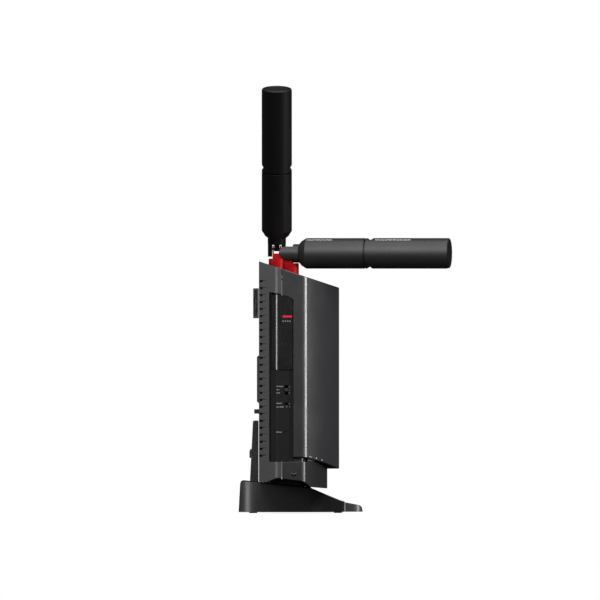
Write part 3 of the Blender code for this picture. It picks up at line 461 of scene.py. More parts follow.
def case_face(bm, step_in=0.0, depth=CASE_DEPTH, corner=0.0057, rear=0.0):
    """The plan as one face, stepped inwards: a side is drawn, its curve swept, then mirrored."""
    centre, start, end = curve_centre(depth)
    middle = bm.verts.new((CASE_REAR + rear, 0, 0))
    back = bm.verts.new((CASE_REAR + rear, REAR_FLAT, 0))
    side = bm.verts.new((CASE_REAR + REAR_CORNER, HALF_WIDTH, 0))
    bend = bm.verts.new(start)
    swept = bmesh.ops.spin(bm, geom=[bend], cent=centre, axis=(0, 0, 1),
                           angle=-math.radians(FRONT_TURN), steps=16)
    curve_end = [item for item in swept["geom_last"] if isinstance(item, bmesh.types.BMVert)][0]
    flat = bm.verts.new((CASE_REAR + depth, FRONT_FLAT, 0))
    nose = bm.verts.new((CASE_REAR + depth, 0, 0))
    for pair in ((middle, back), (back, side), (side, bend), (curve_end, flat), (flat, nose)):
        bm.edges.new(pair)
    bmesh.ops.mirror(bm, geom=bm.verts[:] + bm.edges[:], axis="Y", merge_dist=1e-6)
    bmesh.ops.edgeloop_fill(bm, edges=bm.edges[:])
    bmesh.ops.dissolve_limit(bm, angle_limit=math.radians(0.1), verts=bm.verts[:],
                             edges=bm.edges[:])
    if step_in:
        ring = bmesh.ops.inset_region(bm, faces=bm.faces[:], thickness=step_in,
                                      use_boundary=True, use_even_offset=True)
        bmesh.ops.delete(bm, geom=ring["faces"], context="FACES")
    for vert in [vert for vert in bm.verts if turn_at(vert) > math.radians(30)]:
        forward = vert.co.x - CASE_REAR
        radius = 0.0015 if forward < 0.008 else corner if forward < 0.028 else FRONT_ROUNDING
        if radius > step_in:
            round_corner(bm, vert, radius - step_in, 10)


def case_column(step_in=0.0, low=0.0, high=0.25, **plan):
    """A bmesh of the plan, stepped inwards, standing from low to high."""
    bm = bmesh.new()
    case_face(bm, step_in, **plan)
    bmesh.ops.translate(bm, verts=bm.verts, vec=(0, 0, low))
    extrude(bm, Vector((0, 0, high - low)))
    return bm


def top_at(forward):
    return TOP_REAR - math.tan(TOP_SLOPE) * forward


def bottom_at(forward):
    return BOTTOM_REAR - math.tan(BOTTOM_SLOPE) * forward


TOP_OUT = Vector((math.sin(TOP_SLOPE), 0, math.cos(TOP_SLOPE)))
BOTTOM_OUT = Vector((-math.sin(BOTTOM_SLOPE), 0, -math.cos(BOTTOM_SLOPE)))


def top_point(lower=0.0):
    return Vector((CASE_REAR, 0, TOP_REAR - lower))


def trim_sides_below(bm):
    """The underside rises to both sides."""
    for side in (-1, 1):
        slant = Vector((0, side * 0.4545, -1)).normalized()
        tilt = Matrix.Rotation(BOTTOM_SLOPE, 3, "Y")
        point = Vector((CASE_REAR, 0, BOTTOM_REAR)) + tilt @ Vector((0, side * 0.139, 0))
        trim(bm, point, tilt @ slant)


def off_joint_line(edge):
    """Whether an edge lies away from the joint line between the tub and the cover."""
    middle = (edge.verts[0].co.x + edge.verts[1].co.x) / 2
    return abs(middle - CASE_REAR - SEAM) > 0.0005


print("rear of the case at x =", round(CASE_REAR, 4))

# %% [markdown]
# ## Rear case
#
# The rear tub is one thick-walled moulding. Its outer shape is a solid column trimmed by planes
# and rounded along its rims; then the hollow, the control panel's opening, the ventilation
# slots in both corners and the rear openings are cut out. Rounding before cutting keeps the
# bevel clean, because the small slots would otherwise limit its width. The rim at the joint line
# stays sharp, so that the line reads dark. A thin grey sheet lies behind the slots, so that they
# read as grooves and nobody looks through the case; its grey is painted shade for the slots' dim
# inside.

# %% Rear case
PANEL_REAR = 0.0089
PANEL_FRONT = 0.0296
PANEL_LOW = 0.0448
PANEL_HIGH = 0.1907
SLOTS, SLOTS_LOW, SLOT_PITCH, SLOT_TALL = 26, 0.0490, 0.0060, 0.0019
PORTS_HALF, PORTS_LOW, PORTS_HIGH = 0.100, 0.0945, 0.1362
THROUGH = 0.01


def panel_corners(grow=0.0):
    rear = CASE_REAR + PANEL_REAR - grow
    front = CASE_REAR + PANEL_FRONT + grow
    return [(rear, PANEL_LOW - grow, 0.0008), (front, PANEL_LOW - grow, 0.0008),
            (front, PANEL_HIGH - 0.0069 + grow, 0.0012),
            (front - 0.003, PANEL_HIGH - 0.0043 + grow, 0.0030),
            (front - 0.012, PANEL_HIGH - 0.0015 + grow, 0.0), (rear, PANEL_HIGH + grow, 0.0)]


def panel_prism(name, grow=0.0):
    return prism(name, panel_corners(grow), -0.152, -0.1375, "XZ", 4)


bm = case_column()
trim(bm, Vector((CASE_REAR + SEAM, 0, 0)), Vector((1, 0, 0)))
trim(bm, top_point(), TOP_OUT)
trim(bm, Vector((CASE_REAR, 0, BOTTOM_REAR)), BOTTOM_OUT)
trim_sides_below(bm)
soften(bm, 0.00045, 3, where=off_joint_line)
rear_case = linked("rear_tub", bm)

slots = []
for k in range(SLOTS):
    z = SLOTS_LOW + SLOT_PITCH * k
    for side in (-1, 1):
        near, far = sorted((side * 0.1295, side * 0.1425))
        slots.append(((CASE_REAR + 0.0005, near, z), (CASE_REAR + 0.0062, far, z + SLOT_TALL)))
cut(rear_case, linked("hollow", case_column(WALL)))
cut(rear_case, boxes("slots", slots), panel_prism("opening"),
    block("ports", (CASE_REAR - 0.001, -PORTS_HALF, PORTS_LOW),
          (CASE_REAR + 0.0035, PORTS_HALF, PORTS_HIGH)),
    block("power", (CASE_REAR - 0.001, -0.0755, 0.0856), (CASE_REAR + 0.0035, -0.0645, 0.0900)))
finish(rear_case, CASE, "router", "case_plastic", "rear_case")
print("rear tub:", len(rear_case.data.polygons), "faces,", len(slots), "slots")

# %% Painted shade sheet behind the slots
# A grey sheet of painted shade, standing in for the dim inside of the vent slots.
shade_sheet = linked("vent_screen", case_column(WALL + 0.0003, 0.046, 0.203))
cut(shade_sheet, linked("behind", case_column(WALL + 0.0011, 0.04, 0.21)))
strips = [((CASE_REAR, near, 0.04), (CASE_REAR + 0.0085, far, 0.21))
          for near, far in ((-0.146, -0.127), (0.127, 0.146))]
shape_with(shade_sheet, "INTERSECT", boxes("strips", strips))
finish(shade_sheet, SLOT_SHADE, "router", "case_plastic")
print("vent screen:", len(shade_sheet.data.polygons), "faces")

# %% [markdown]
# ## Front cover
#
# The cover is the router's face: a satin dark grey shell whose vertical corners catch a long
# bright line. A narrow rebate along its rear edge draws the dark joint line of the two shells.
# Its lower edge is level in front and rises to both sides, and three light pipes come through it
# near the edge.

# %% Front cover
COVER_LOW = 0.0386
COVER_LOW_SIDE = 0.0488
LIGHT_PIPES = [0.0448, 0.0495, 0.0543]
PIPE_R = 0.0006
REBATE_WIDE, REBATE_DEEP = 0.0009, 0.0012


def pipe_places():
    """Where the light pipes pass through the curved corner, along their own axes."""
    centre, start, end = curve_centre()
    radius = (end - centre).length
    places = []
    for forward in LIGHT_PIPES:
        x = CASE_REAR + forward
        across = centre.y + math.sqrt(radius ** 2 - (x - centre.x) ** 2)
        rise = (COVER_LOW_SIDE - COVER_LOW) / (HALF_WIDTH - end.y)
        z = COVER_LOW + rise * (across - end.y) + 0.0016
        outward = Vector((x - centre.x, centre.y - across, 0))
        turn = outward.to_track_quat("Z", "Y").to_matrix().to_4x4()
        places.append(Matrix.Translation((x, -across, z)) @ turn)
    return places


bm = case_column(0.0, 0.02)
trim(bm, Vector((CASE_REAR + SEAM + GAP, 0, 0)), Vector((-1, 0, 0)))
trim(bm, top_point(), TOP_OUT)
trim(bm, Vector((0, 0, COVER_LOW)), Vector((0, 0, -1)))
inner = FRONT_FLAT + FRONT_EDGE[1]
slant = (COVER_LOW_SIDE - COVER_LOW) / (HALF_WIDTH - inner)
for side in (-1, 1):
    trim(bm, Vector((0, side * inner, COVER_LOW)), Vector((0, side * slant, -1)).normalized())
soften(bm, 0.0006, 3)
front_cover = linked("front_shell", bm)
cut(front_cover, linked("hollow", case_column(WALL, COVER_LOW + 0.0022)))
cut(front_cover, linked("passage", case_column(0.0006, 0.01, COVER_LOW + 0.004,
                                               depth=CHASSIS_DEPTH, rear=-0.01)))
seam_ring = block("seam_ring", (CASE_REAR + SEAM, -OUTSIDE, 0.0),
                  (CASE_REAR + SEAM + REBATE_WIDE, OUTSIDE, 0.25))
cut(seam_ring, linked("core", case_column(REBATE_DEEP, -0.01, 0.26)))
cut(front_cover, seam_ring, panel_prism("opening"),
    *[rod("pipe_hole", place, PIPE_R + 0.0001, 0.008, 16) for place in pipe_places()])
finish(front_cover, COVER, "router", "cover_plastic", "front_cover")
print("front shell:", len(front_cover.data.polygons), "faces")

# %% [markdown]
# The light pipes are three clear rods on one bar behind the cover's wall. The bar is the plan's
# column cut down to the thin curved stretch that the wall leaves free.

# %% Light pipes
bar = linked("light_pipe_bar", case_column(0.0030, 0.0452, 0.0500))
cut(bar, linked("behind", case_column(0.0044, 0.04, 0.06)))
cut(bar, linked("behind", case_column(0.0036 - GAP, 0.04, 0.06, depth=CHASSIS_DEPTH)))
shape_with(bar, "INTERSECT", block("length", (CASE_REAR + LIGHT_PIPES[0] - 0.0030, -OUTSIDE, 0.04),
                                   (CASE_REAR + LIGHT_PIPES[-1] + 0.0010, 0, 0.06)))
finish(bar, DARK, "router", "white_lens", "light_pipes")
bm = bmesh.new()
for place in pipe_places():
    bmesh.ops.create_cone(bm, cap_ends=True, segments=24, radius1=PIPE_R, radius2=PIPE_R,
                          depth=0.0030, matrix=place @ Matrix.Translation((0, 0, -0.0015)))
soften(bm, 0.00015, 2)
finish(linked("light_pipe_ends", bm), WHITE_LENS, "router", "white_lens")
print("light pipes:", len(LIGHT_PIPES))

# %% [markdown]
# ## Lower chassis, top panel and grille
#
# Below the cover the chassis shows as a narrower dark band. On top, inside the rims of the two
# shells, lie a flat panel with a round hole for each antenna and, in front of it, a grille that
# lets warm air out.

# %% Lower chassis
SCREW_AT, SCREW_Z = 0.030, 0.034

bm = case_column(0.001, depth=CHASSIS_DEPTH)
trim(bm, Vector((CASE_REAR + SEAM + GAP, 0, 0)), Vector((-1, 0, 0)))
trim(bm, Vector((0, 0, 0.0448)), Vector((0, 0, 1)))
trim(bm, Vector((CASE_REAR, 0, BOTTOM_REAR)), BOTTOM_OUT)
trim_sides_below(bm)
soften(bm, 0.0004, 2, where=off_joint_line)
chassis = linked("chassis", bm)
bm = case_column(0.0036, 0.036, 0.060, depth=CHASSIS_DEPTH)
trim(bm, Vector((CASE_REAR + SEAM + GAP, 0, 0)), Vector((-1, 0, 0)))
shape_with(chassis, "UNION", linked("inner_wall", bm))
cut(chassis, linked("hollow", case_column(0.0054, depth=CHASSIS_DEPTH)))
screw_holes = [rod("screw_hole", Matrix.Translation((CASE_REAR + SCREW_AT, side * 0.147, SCREW_Z))
                   @ Matrix.Rotation(math.radians(90), 4, "X"), 0.0020, 0.008)
               for side in (-1, 1)]
cut(chassis, *screw_holes)
finish(chassis, CHASSIS, "router", "dark_plastic", "lower_chassis")
print("chassis:", len(chassis.data.polygons), "faces")

# %% Top panel
ROWS = {"front": 0.0273, "rear": 0.0153}
OUTER_Y, INNER_Y = 0.118, 0.046
TURRET_R = 0.00705
TOP_JOINT = 0.0490

bm = case_column(WALL + GAP, 0.15)
trim(bm, Vector((CASE_REAR + TOP_JOINT, 0, 0)), Vector((1, 0, 0)))
trim(bm, top_point(), TOP_OUT)
trim(bm, top_point(0.0026), -TOP_OUT)
soften(bm, 0.0003, 2)
top = linked("top_plate", bm)
holes = []
for row, y in (("front", OUTER_Y), ("rear", INNER_Y)):
    for side in (-1, 1):
        spot = (CASE_REAR + ROWS[row], side * y, top_at(ROWS[row]))
        holes.append(rod("turret_hole", Matrix.Translation(spot), TURRET_R + GAP, 0.02, 48))
cut(top, *holes)
finish(top, CASE, "router", "case_plastic", "top_panel")
print("top panel:", len(holes), "holes")

# %% Top grille
bm = case_column(WALL + GAP, 0.15)
trim(bm, Vector((CASE_REAR + TOP_JOINT + GAP, 0, 0)), Vector((-1, 0, 0)))
trim(bm, top_point(0.0004), TOP_OUT)
trim(bm, top_point(0.0030), -TOP_OUT)
soften(bm, 0.0002, 2)
grille = linked("top_vent", bm)
slots = []
for row in range(3):
    rear = CASE_REAR + 0.0515 + 0.0048 * row
    for column in range(-3, 4):
        middle = column * 0.026
        slots.append(((rear, middle - 0.0115, 0.18), (rear + 0.0026, middle + 0.0115, 0.21)))
cut(grille, boxes("slots", slots))
finish(grille, DARK, "router", "dark_plastic", "top_grille")
print("top grille:", len(slots), "slots")

# %% [markdown]
# ## Control panel
#
# A thin black skin lies in an opening of the case's side and follows its angled corner. The
# large pairing button fills its upper part and stands a little prouder, so its edge catches a
# thin bright line. Both come from the plan's column, hollowed from inside, of which only the
# stretch inside the opening is kept.

# %% Control panel
BUTTON_REAR, BUTTON_FRONT = 0.0111, 0.0290
BUTTON_LOW, BUTTON_HIGH = 0.1240, 0.1886
SWITCH_AT = 0.0236
MODE_Z, AUTO_Z = 0.1066, 0.0921
RESET = (0.0229, 0.0703)
SIDE_FACE = -HALF_WIDTH + 0.0012


def side_skin(name, near, far, corner):
    skin = linked(name, case_column(near, 0.03, 0.20, corner=corner))
    return cut(skin, linked("behind", case_column(far, 0.02, 0.21, corner=corner)))


panel = side_skin("control_skin", 0.0012, 0.0032, 0.0050)
shape_with(panel, "INTERSECT", panel_prism("edge", -GAP))
switch_x = CASE_REAR + SWITCH_AT
reset_place = Matrix.Translation((CASE_REAR + RESET[0], SIDE_FACE, RESET[1])) \
    @ Matrix.Rotation(math.radians(90), 4, "X")
cut(panel,
    block("button_room", (CASE_REAR + BUTTON_REAR - GAP, -OUTSIDE, BUTTON_LOW - GAP),
          (CASE_REAR + 0.035, -0.13, 0.21)),
    block("mode_slot", (switch_x - 0.0014, -OUTSIDE, MODE_Z - 0.0041),
          (switch_x + 0.0014, -0.13, MODE_Z + 0.0041)),
    block("auto_slot", (switch_x - 0.0014, -OUTSIDE, AUTO_Z - 0.0013),
          (switch_x + 0.0014, -0.13, AUTO_Z + 0.0038)),
    rod("reset_hole", reset_place, 0.00125, 0.012))
finish(panel, PANEL, "router", "dark_plastic", "control_panel")
print("control panel:", len(panel.data.polygons), "faces")

# %% [markdown]
# The light is a clear red window let into the button, with four plain marks under it. The window
# and the marks ride on the button, so they go in when it is pressed.

# %% Pairing button and its light
button = side_skin("pairing_key", 0.0003, 0.0026, 0.0050)
rear, front = CASE_REAR + BUTTON_REAR, CASE_REAR + BUTTON_FRONT
edge = [(rear, BUTTON_LOW, 0.0014), (front, BUTTON_LOW, 0.0005),
        (front, BUTTON_HIGH - 0.0050, 0.0010), (front - 0.003, BUTTON_HIGH - 0.0026, 0.0020),
        (front - 0.011, BUTTON_HIGH - 0.0003, 0.0), (rear, BUTTON_HIGH, 0.0004)]
shape_with(button, "INTERSECT", prism("edge", edge, -OUTSIDE, -0.12, "XZ", 4))
cut(button, block("light_slot", (CASE_REAR + 0.0201, -OUTSIDE, 0.1684),
                  (CASE_REAR + 0.0288, -HALF_WIDTH + 0.0018, 0.1707)))
finish(button, BUTTON, "pairing_button", "dark_plastic", "pairing_button", edge=0.00025)

light = block("status_window", (CASE_REAR + 0.0204, -HALF_WIDTH + 0.0002, 0.1687),
              (CASE_REAR + 0.0285, -HALF_WIDTH + 0.0015, 0.1704), 0.0002)
finish(light, RED_LENS, "pairing_button", "red_lens", "status_light")

marks = []
for k in range(4):
    rear = CASE_REAR + 0.0205 + 0.0019 * k
    marks.append(((rear, -HALF_WIDTH + 0.00026, 0.1653),
                  (rear + 0.0009, -HALF_WIDTH + 0.0004, 0.1661)))
finish(boxes("status_marks", marks), PRINT, "pairing_button", "dark_plastic")
print("pairing button:", len(button.data.polygons), "faces,", len(marks), "marks")

# %% [markdown]
# The two slide switches have a ribbed knob, so a fingernail can push them. The reset button
# lies deep in a round hole. The power button is a plain rocker-sized key at the rear.

# %% Switches and small buttons
for name, body, z in (("mode_knob", "mode_switch", MODE_Z), ("auto_knob", "auto_switch", AUTO_Z)):
    knob = block(name, (switch_x - 0.0011, SIDE_FACE - 0.0006, z - 0.0011),
                 (switch_x + 0.0011, SIDE_FACE + 0.0032, z + 0.0011), 0.00015)
    grooves = [((switch_x - 0.002, SIDE_FACE - 0.001, z + step - 0.00013),
                (switch_x + 0.002, SIDE_FACE - 0.0003, z + step + 0.00013))
               for step in (-0.0005, 0.0, 0.0005)]
    cut(knob, boxes("grooves", grooves))
    finish(knob, CASE, body, "dark_plastic", body)

bm = bmesh.new()
bmesh.ops.create_cone(bm, cap_ends=True, segments=32, radius1=0.0009, radius2=0.0009,
                      depth=0.0040, matrix=reset_place @ Matrix.Translation((0, 0, -0.0028)))
soften(bm, 0.0001, 2)
finish(linked("reset_key", bm), DARK, "reset_button", "dark_plastic", "reset_button")

low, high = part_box("power_button")
power = block("power_key", low, high, 0.0005, 3)
finish(power, DARK, "power_button", "dark_plastic", "power_button")
print("controls: 2 switches, 3 buttons")

# %% [markdown]
# The panel's printed words are left as plain bars: rows of short dashes where a legend would
# be, and a tick beside each position of a switch. Each bar is a plate a few hundredths of a
# millimetre thick, laid on the skin.

# %% Plain printed bars on the panel
WORDS_AT = 0.0152


def panel_bar(first, last, z, tall=0.0007):
    return ((CASE_REAR + first, SIDE_FACE - 0.00004, z - tall / 2),
            (CASE_REAR + last, SIDE_FACE + 0.00010, z + tall / 2))


bars = []
for z, length in ((MODE_Z + 0.0030, 0.0055), (MODE_Z + 0.0001, 0.0022), (MODE_Z - 0.0027, 0.0030),
                  (AUTO_Z + 0.0030, 0.0042), (AUTO_Z - 0.0002, 0.0062), (RESET[1], 0.0046)):
    start = WORDS_AT
    while start < WORDS_AT + length - 0.0002:
        bars.append(panel_bar(start, start + 0.0005, z))
        start += 0.0008
for z in (MODE_Z - 0.0027, MODE_Z, MODE_Z + 0.0027, AUTO_Z, AUTO_Z + 0.0024):
    bars.append(panel_bar(SWITCH_AT + 0.0022, SWITCH_AT + 0.0032, z, 0.0003))
marks = boxes("panel_marks", bars)
finish(marks, PRINT, "router", "dark_plastic")
print("panel bars:", len(bars))

# %% [markdown]
# ## Rear panel
#
# The sockets sit behind a raised panel with sloping edges. The network sockets keep their
# measured blocks, with gold contact springs added in each.

# %% Port panel
NETWORK_PORTS = [-0.028, 0.002, 0.022, 0.042, 0.062]
USB_AT, JACK_AT, JACK_Z = -0.054, -0.082, 0.1130

rear, front = CASE_REAR - 0.0018, CASE_REAR + WALL - GAP
profile = [(rear, PORTS_LOW + 0.0020, 0.0004), (CASE_REAR, PORTS_LOW + GAP, 0),
           (front, PORTS_LOW + GAP, 0), (front, PORTS_HIGH - GAP, 0),
           (CASE_REAR, PORTS_HIGH - GAP, 0), (rear, PORTS_HIGH - 0.0014, 0.0004)]
ports = prism("port_plate", profile, -0.0997, 0.0997, "XZ", 3)
behind, before = CASE_REAR - THROUGH, CASE_REAR + THROUGH
openings = [((behind, y - 0.0060, 0.1085), (before, y + 0.0060, 0.1170)) for y in NETWORK_PORTS]
latches = [((behind, y - 0.0030, 0.1160), (before, y + 0.0030, 0.1200)) for y in NETWORK_PORTS]
turn_x = Matrix.Rotation(math.radians(90), 4, "Y")
cut(ports, boxes("openings", openings), boxes("latches", latches),
    block("usb", (behind, USB_AT - 0.0033, JACK_Z - 0.0068),
          (before, USB_AT + 0.0033, JACK_Z + 0.0068)),
    rod("jack", Matrix.Translation((CASE_REAR, JACK_AT, JACK_Z)) @ turn_x, 0.0042, 2 * THROUGH, 48))
finish(ports, CASE, "router", "case_plastic", "port_panel")
print("port panel:", len(ports.data.polygons), "faces")

# %% Socket details
CONTACT_PITCH = 0.00102

springs = []
for y in NETWORK_PORTS:
    for k in range(8):
        across = y + (k - 3.5) * CONTACT_PITCH
        springs.append(((CASE_REAR + 0.0045, across - 0.0002, 0.1086),
                        (CASE_REAR + 0.0150, across + 0.0002, 0.1091)))
contacts = boxes("socket_contacts", springs)
finish(contacts, GOLD, "router", "plated_steel")
print("gold contacts:", len(springs))

# %% [markdown]
# The holder is open at the panel's side, where a notch lets a thumb reach the card. The card is a
# black carrier with a plain label on the face that lies inwards.

# %% Card holder and card
HOLDER_LOW, HOLDER_HIGH = 0.1681, 0.1939

rear, front = CASE_REAR - 0.0050, CASE_REAR - GAP
holder = prism("card_pocket", [(rear, HOLDER_LOW, 0.0007), (front, HOLDER_LOW, 0),
                               (front, HOLDER_HIGH, 0), (rear, HOLDER_HIGH, 0.0007)],
               -0.1310, -0.0410, "XZ", 4)
cut(holder, block("pocket", (rear + 0.0014, -0.1320, HOLDER_LOW + 0.0021),
                  (front - 0.0014, -0.0430, HOLDER_HIGH - 0.0021)),
    block("notch", (rear - 0.001, -0.1320, 0.1760), (rear + 0.002, -0.1220, 0.1860)))
finish(holder, DARK, "router", "dark_plastic", "card_holder", edge=0.0003)
low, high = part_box("setup_card")
blank = block("setup_card_carrier", low, high, 0.0004)
finish(blank, DARK, "setup_card", "card", "setup_card")
label = block("blank_label", (low.x - 0.00006, low.y + 0.012, low.z + 0.002),
              (low.x + 0.0001, high.y - 0.003, high.z - 0.002), 0.00002)
finish(label, CARD, "setup_card", "card")
print("card holder:", len(holder.data.polygons), "faces")

# %% [markdown]
# ## Case screws
#
# One small cross-head screw holds the chassis on each side. A profile spun about its axis gives
# the head, and two crossed slots make the recess.

# %% Case screws
def spun(profile, steps=48):
    """A profile of (radius, height) points, on the axis at both ends or closed, spun about Z."""
    bm = bmesh.new()
    verts = [bm.verts.new((r, 0, z)) for r, z in profile]
    edges = [bm.edges.new(pair) for pair in zip(verts, verts[1:])]
    if profile[0][0] > 0:
        edges.append(bm.edges.new((verts[-1], verts[0])))
    bmesh.ops.spin(bm, geom=verts + edges, cent=(0, 0, 0), axis=(0, 0, 1),
                   angle=math.radians(360), steps=steps, use_merge=True)
    bmesh.ops.remove_doubles(bm, verts=bm.verts, dist=1e-6)
    bmesh.ops.recalc_face_normals(bm, faces=bm.faces)
    return bm


for name, side in (("case_screw_panel_side", -1), ("case_screw_far_side", 1)):
    bm = spun([(0, 0.0014), (0.0010, 0.00135), (0.0015, 0.0011), (0.0017, 0.0007), (0.0017, 0),
               (0.0009, 0), (0.0009, -0.0045), (0, -0.0045)], 32)
    place = Matrix.Translation((CASE_REAR + SCREW_AT, side * (HALF_WIDTH - 0.003), SCREW_Z)) \
        @ Matrix.Rotation(math.radians(-90 * side), 4, "X")
    screw = linked("cross_" + name, bm)
    cut(screw, block("recess", (-0.0010, -0.0002, 0.0007), (0.0010, 0.0002, 0.002)),
        block("recess", (-0.0002, -0.0010, 0.0007), (0.0002, 0.0010, 0.002)))
    screw.data.transform(place)
    finish(screw, BLACK_STEEL, "router", "plated_steel", name)
    print(screw.name, len(screw.data.polygons), "faces")

# %% [markdown]
# ## Stand
#
# The stand is a low weighted foot with a long slope in front, a lip, and an upright at the rear
# that steadies the case. The plan's corners have large radii, and the side profile is kept from
# a prism by an intersection, so both outlines stay exact.

# %% Stand
STAND_REAR, STAND_FRONT, LIP_FRONT = -0.0177, 0.074, 0.0895
STAND_UNDER = 0.001
STAND_GAP = 0.0015
UPRIGHT_TOP = 0.0795


def shifted(points):
    return [(CASE_REAR + a, b, r) for a, b, r in points]


base = prism("stand_foot", shifted([
    (STAND_REAR, -0.075, 0.016), (STAND_FRONT, -0.075, 0.032), (STAND_FRONT, 0.075, 0.032),
    (STAND_REAR, 0.075, 0.016)]), 0.0, 0.04, segments=20)
side_view = prism("side_view", shifted([
    (STAND_REAR, STAND_UNDER, 0), (STAND_FRONT, STAND_UNDER, 0), (STAND_FRONT, 0.0092, 0),
    (0.0697, 0.0105, 0), (0.0581, 0.0152, 0), (0.0431, bottom_at(0.0431) - STAND_GAP, 0.003),
    (-0.0140, bottom_at(-0.0140) - STAND_GAP, 0.002), (-0.0158, 0.0268, 0),
    (-0.0163, 0.0255, 0)]), -0.1, 0.1, "XZ", 4)
shape_with(base, "INTERSECT", side_view)
cells = [((CASE_REAR + 0.002, y0, -0.001), (CASE_REAR + 0.040, y1, 0.0185))
         for y0, y1 in ((-0.070, -0.026), (-0.022, 0.022), (0.026, 0.070))]
pockets = []
for foot in ("rear_foot", "front_foot"):
    low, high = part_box(foot)
    grow = Vector((GAP, GAP, GAP))
    pockets.append((low - grow, high + grow))
cut(base, boxes("cells", cells), boxes("pockets", pockets))
finish(base, STAND, "stand", "case_plastic", "stand_base", edge=0.0005)
print("stand foot:", len(base.data.polygons), "faces,", len(cells), "cells underneath")

# %% [markdown]
# The lip continues the slope in front. The upright leans on the case's rear and has a window for
# the release latch, which has three grooves for a thumb.

# %% Lip, upright, latch and feet
lip = prism("stand_front_lip", shifted([
    (STAND_FRONT + GAP, -0.036, 0), (LIP_FRONT, -0.036, 0.009), (LIP_FRONT, 0.036, 0.009),
    (STAND_FRONT + GAP, 0.036, 0)]), 0.0, 0.02, segments=12)
shape_with(lip, "INTERSECT", prism("side_view", shifted([
    (0.0740, STAND_UNDER, 0), (LIP_FRONT, STAND_UNDER, 0), (LIP_FRONT - 0.0005, 0.0045, 0.0008),
    (0.0872, 0.0062, 0.002), (0.0740, 0.0088, 0)]), -0.1, 0.1, "XZ", 4))
finish(lip, STAND, "stand", "dark_plastic", "stand_lip", edge=0.0003)

foot_of_upright = bottom_at(-0.0079) - STAND_GAP + GAP
upright = prism("stand_back", shifted([
    (-0.0079, foot_of_upright, 0), (-0.0006, bottom_at(-0.0006) - STAND_GAP + GAP, 0),
    (-0.0006, UPRIGHT_TOP, 0.0005), (-0.0046, UPRIGHT_TOP, 0.0003),
    (-0.0054, UPRIGHT_TOP - 0.0008, 0.0004)]), -0.035, 0.035, "XZ", 3)
cut(upright, block("window", (CASE_REAR - 0.02, -0.0093, 0.0470),
                   (CASE_REAR + 0.001, 0.0093, 0.0553)))
finish(upright, DARK, "stand", "case_plastic", "stand_upright", edge=0.0003)

latch = prism("release_latch", shifted([
    (-0.0084, 0.0473, 0.0003), (-0.0030, 0.0473, 0), (-0.0030, 0.0550, 0),
    (-0.0076, 0.0550, 0.0003), (-0.0084, 0.0530, 0.0006)]), -0.009, 0.009, "XZ", 3)
cut(latch, boxes("grip", [((CASE_REAR - 0.0090, -0.007, z), (CASE_REAR - 0.0080, 0.007, z + 0.0004))
                          for z in (0.0486, 0.0498, 0.0510)]))
finish(latch, DARK, "latch", "dark_plastic", "stand_latch", edge=0.0002)

for foot in ("rear_foot", "front_foot"):
    low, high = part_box(foot)
    pad = block("rubber_" + foot, low, high, 0.0004)
    finish(pad, RUBBER, "stand", "rubber", foot)
print("stand: lip, upright, latch and two pads")

# %% [markdown]
# ## Antennas
#
# All four antennas are the same. A red swivel base turns in the top panel; a steel pin through
# it carries the forked neck, so the antenna folds; and the upper barrel turns on the lower one
# at a fine seam. A V notch on two sides of the upper barrel gives a fingertip a hold. Every
# turned part is a profile spun about the antenna's own axis. The shapes are drawn once in their
# own frame, then placed by a matrix for each antenna, which is baked into the mesh.

# %% Turned profiles
PIN_ABOVE_TOP = 0.0159
PIN_SETBACK = 0.0024
ANTENNA_R = 0.013
NECK_R = 0.00785
SEAM_L, NOTCH_L, TIP_L = 0.0679, 0.0720, 0.1412
SEAM_HALF = 0.0005
NOTCH_DEEP, NOTCH_HALF = 0.00275, 0.0028
FLANGE_BELOW_PIN = 0.0085
STEPS = 72


def arc(centre, radius, first, last, pieces):
    """Points on an arc, from one angle to another in degrees."""
    points = []
    for k in range(pieces + 1):
        angle = math.radians(first + (last - first) * k / pieces)
        points.append((centre[0] + radius * math.cos(angle), centre[1] + radius * math.sin(angle)))
    return points


def lower_barrel():
    seam = SEAM_L - SEAM_HALF
    profile = [(0, 0.0180), (0.0110, 0.0180), (0.0110, seam)]
    profile += arc((ANTENNA_R - 0.0003, seam - 0.0003), 0.0003, 90, 0, 3)
    profile += arc((ANTENNA_R - 0.0016, 0.0166), 0.0016, 0, -52, 6)
    profile += [(0.0104, 0.01205)]
    profile += arc((NECK_R + 0.0009, 0.0096), 0.0009, 128, 180, 4)
    profile += [(NECK_R, 0.0050), (0, 0.0050)]
    return spun(profile, STEPS)


def upper_barrel(name):
    """Upper barrel with a V notch cut straight across on two opposite sides."""
    seam = SEAM_L + SEAM_HALF
    profile = [(0.0110, TIP_L)]
    profile += arc((ANTENNA_R - 0.0015, TIP_L - 0.0015), 0.0015, 90, 0, 6)
    profile += [(ANTENNA_R, seam + 0.0003), (ANTENNA_R - 0.0003, seam), (0.0107, seam),
                (0.0107, SEAM_L - 0.0060), (0.0090, SEAM_L - 0.0060),
                (0.0090, NOTCH_L + 0.0040), (0.0110, NOTCH_L + 0.0060)]
    barrel = linked(name, spun(profile, STEPS))
    mouth = 0.0020
    wide = NOTCH_HALF * (NOTCH_DEEP + mouth) / NOTCH_DEEP
    for side in (-1, 1):
        wedge = [(side * (ANTENNA_R - NOTCH_DEEP), NOTCH_L, 0.0003),
                 (side * (ANTENNA_R + mouth), NOTCH_L - wide, 0),
                 (side * (ANTENNA_R + mouth), NOTCH_L + wide, 0)]
        cut(barrel, prism("notch", wedge, -0.014, 0.014, "XZ", 4))
    return barrel


def end_cap():
    face = TIP_L - 0.0003
    rim = 0.0110 - GAP
    return spun([(0, face - 0.0003), (rim - 0.0010, face - 0.0003), (rim - 0.0006, face),
                 (rim - 0.0002, face), (rim, face - 0.0002), (rim, face - 0.0020),
                 (0, face - 0.0020)], STEPS)


# %% [markdown]
# The lower barrel ends in a forked neck: two ears with round backs either side of the red lug, and
# a short tongue between them. The ears are plates of which only what lies inside the neck's round
# is kept.

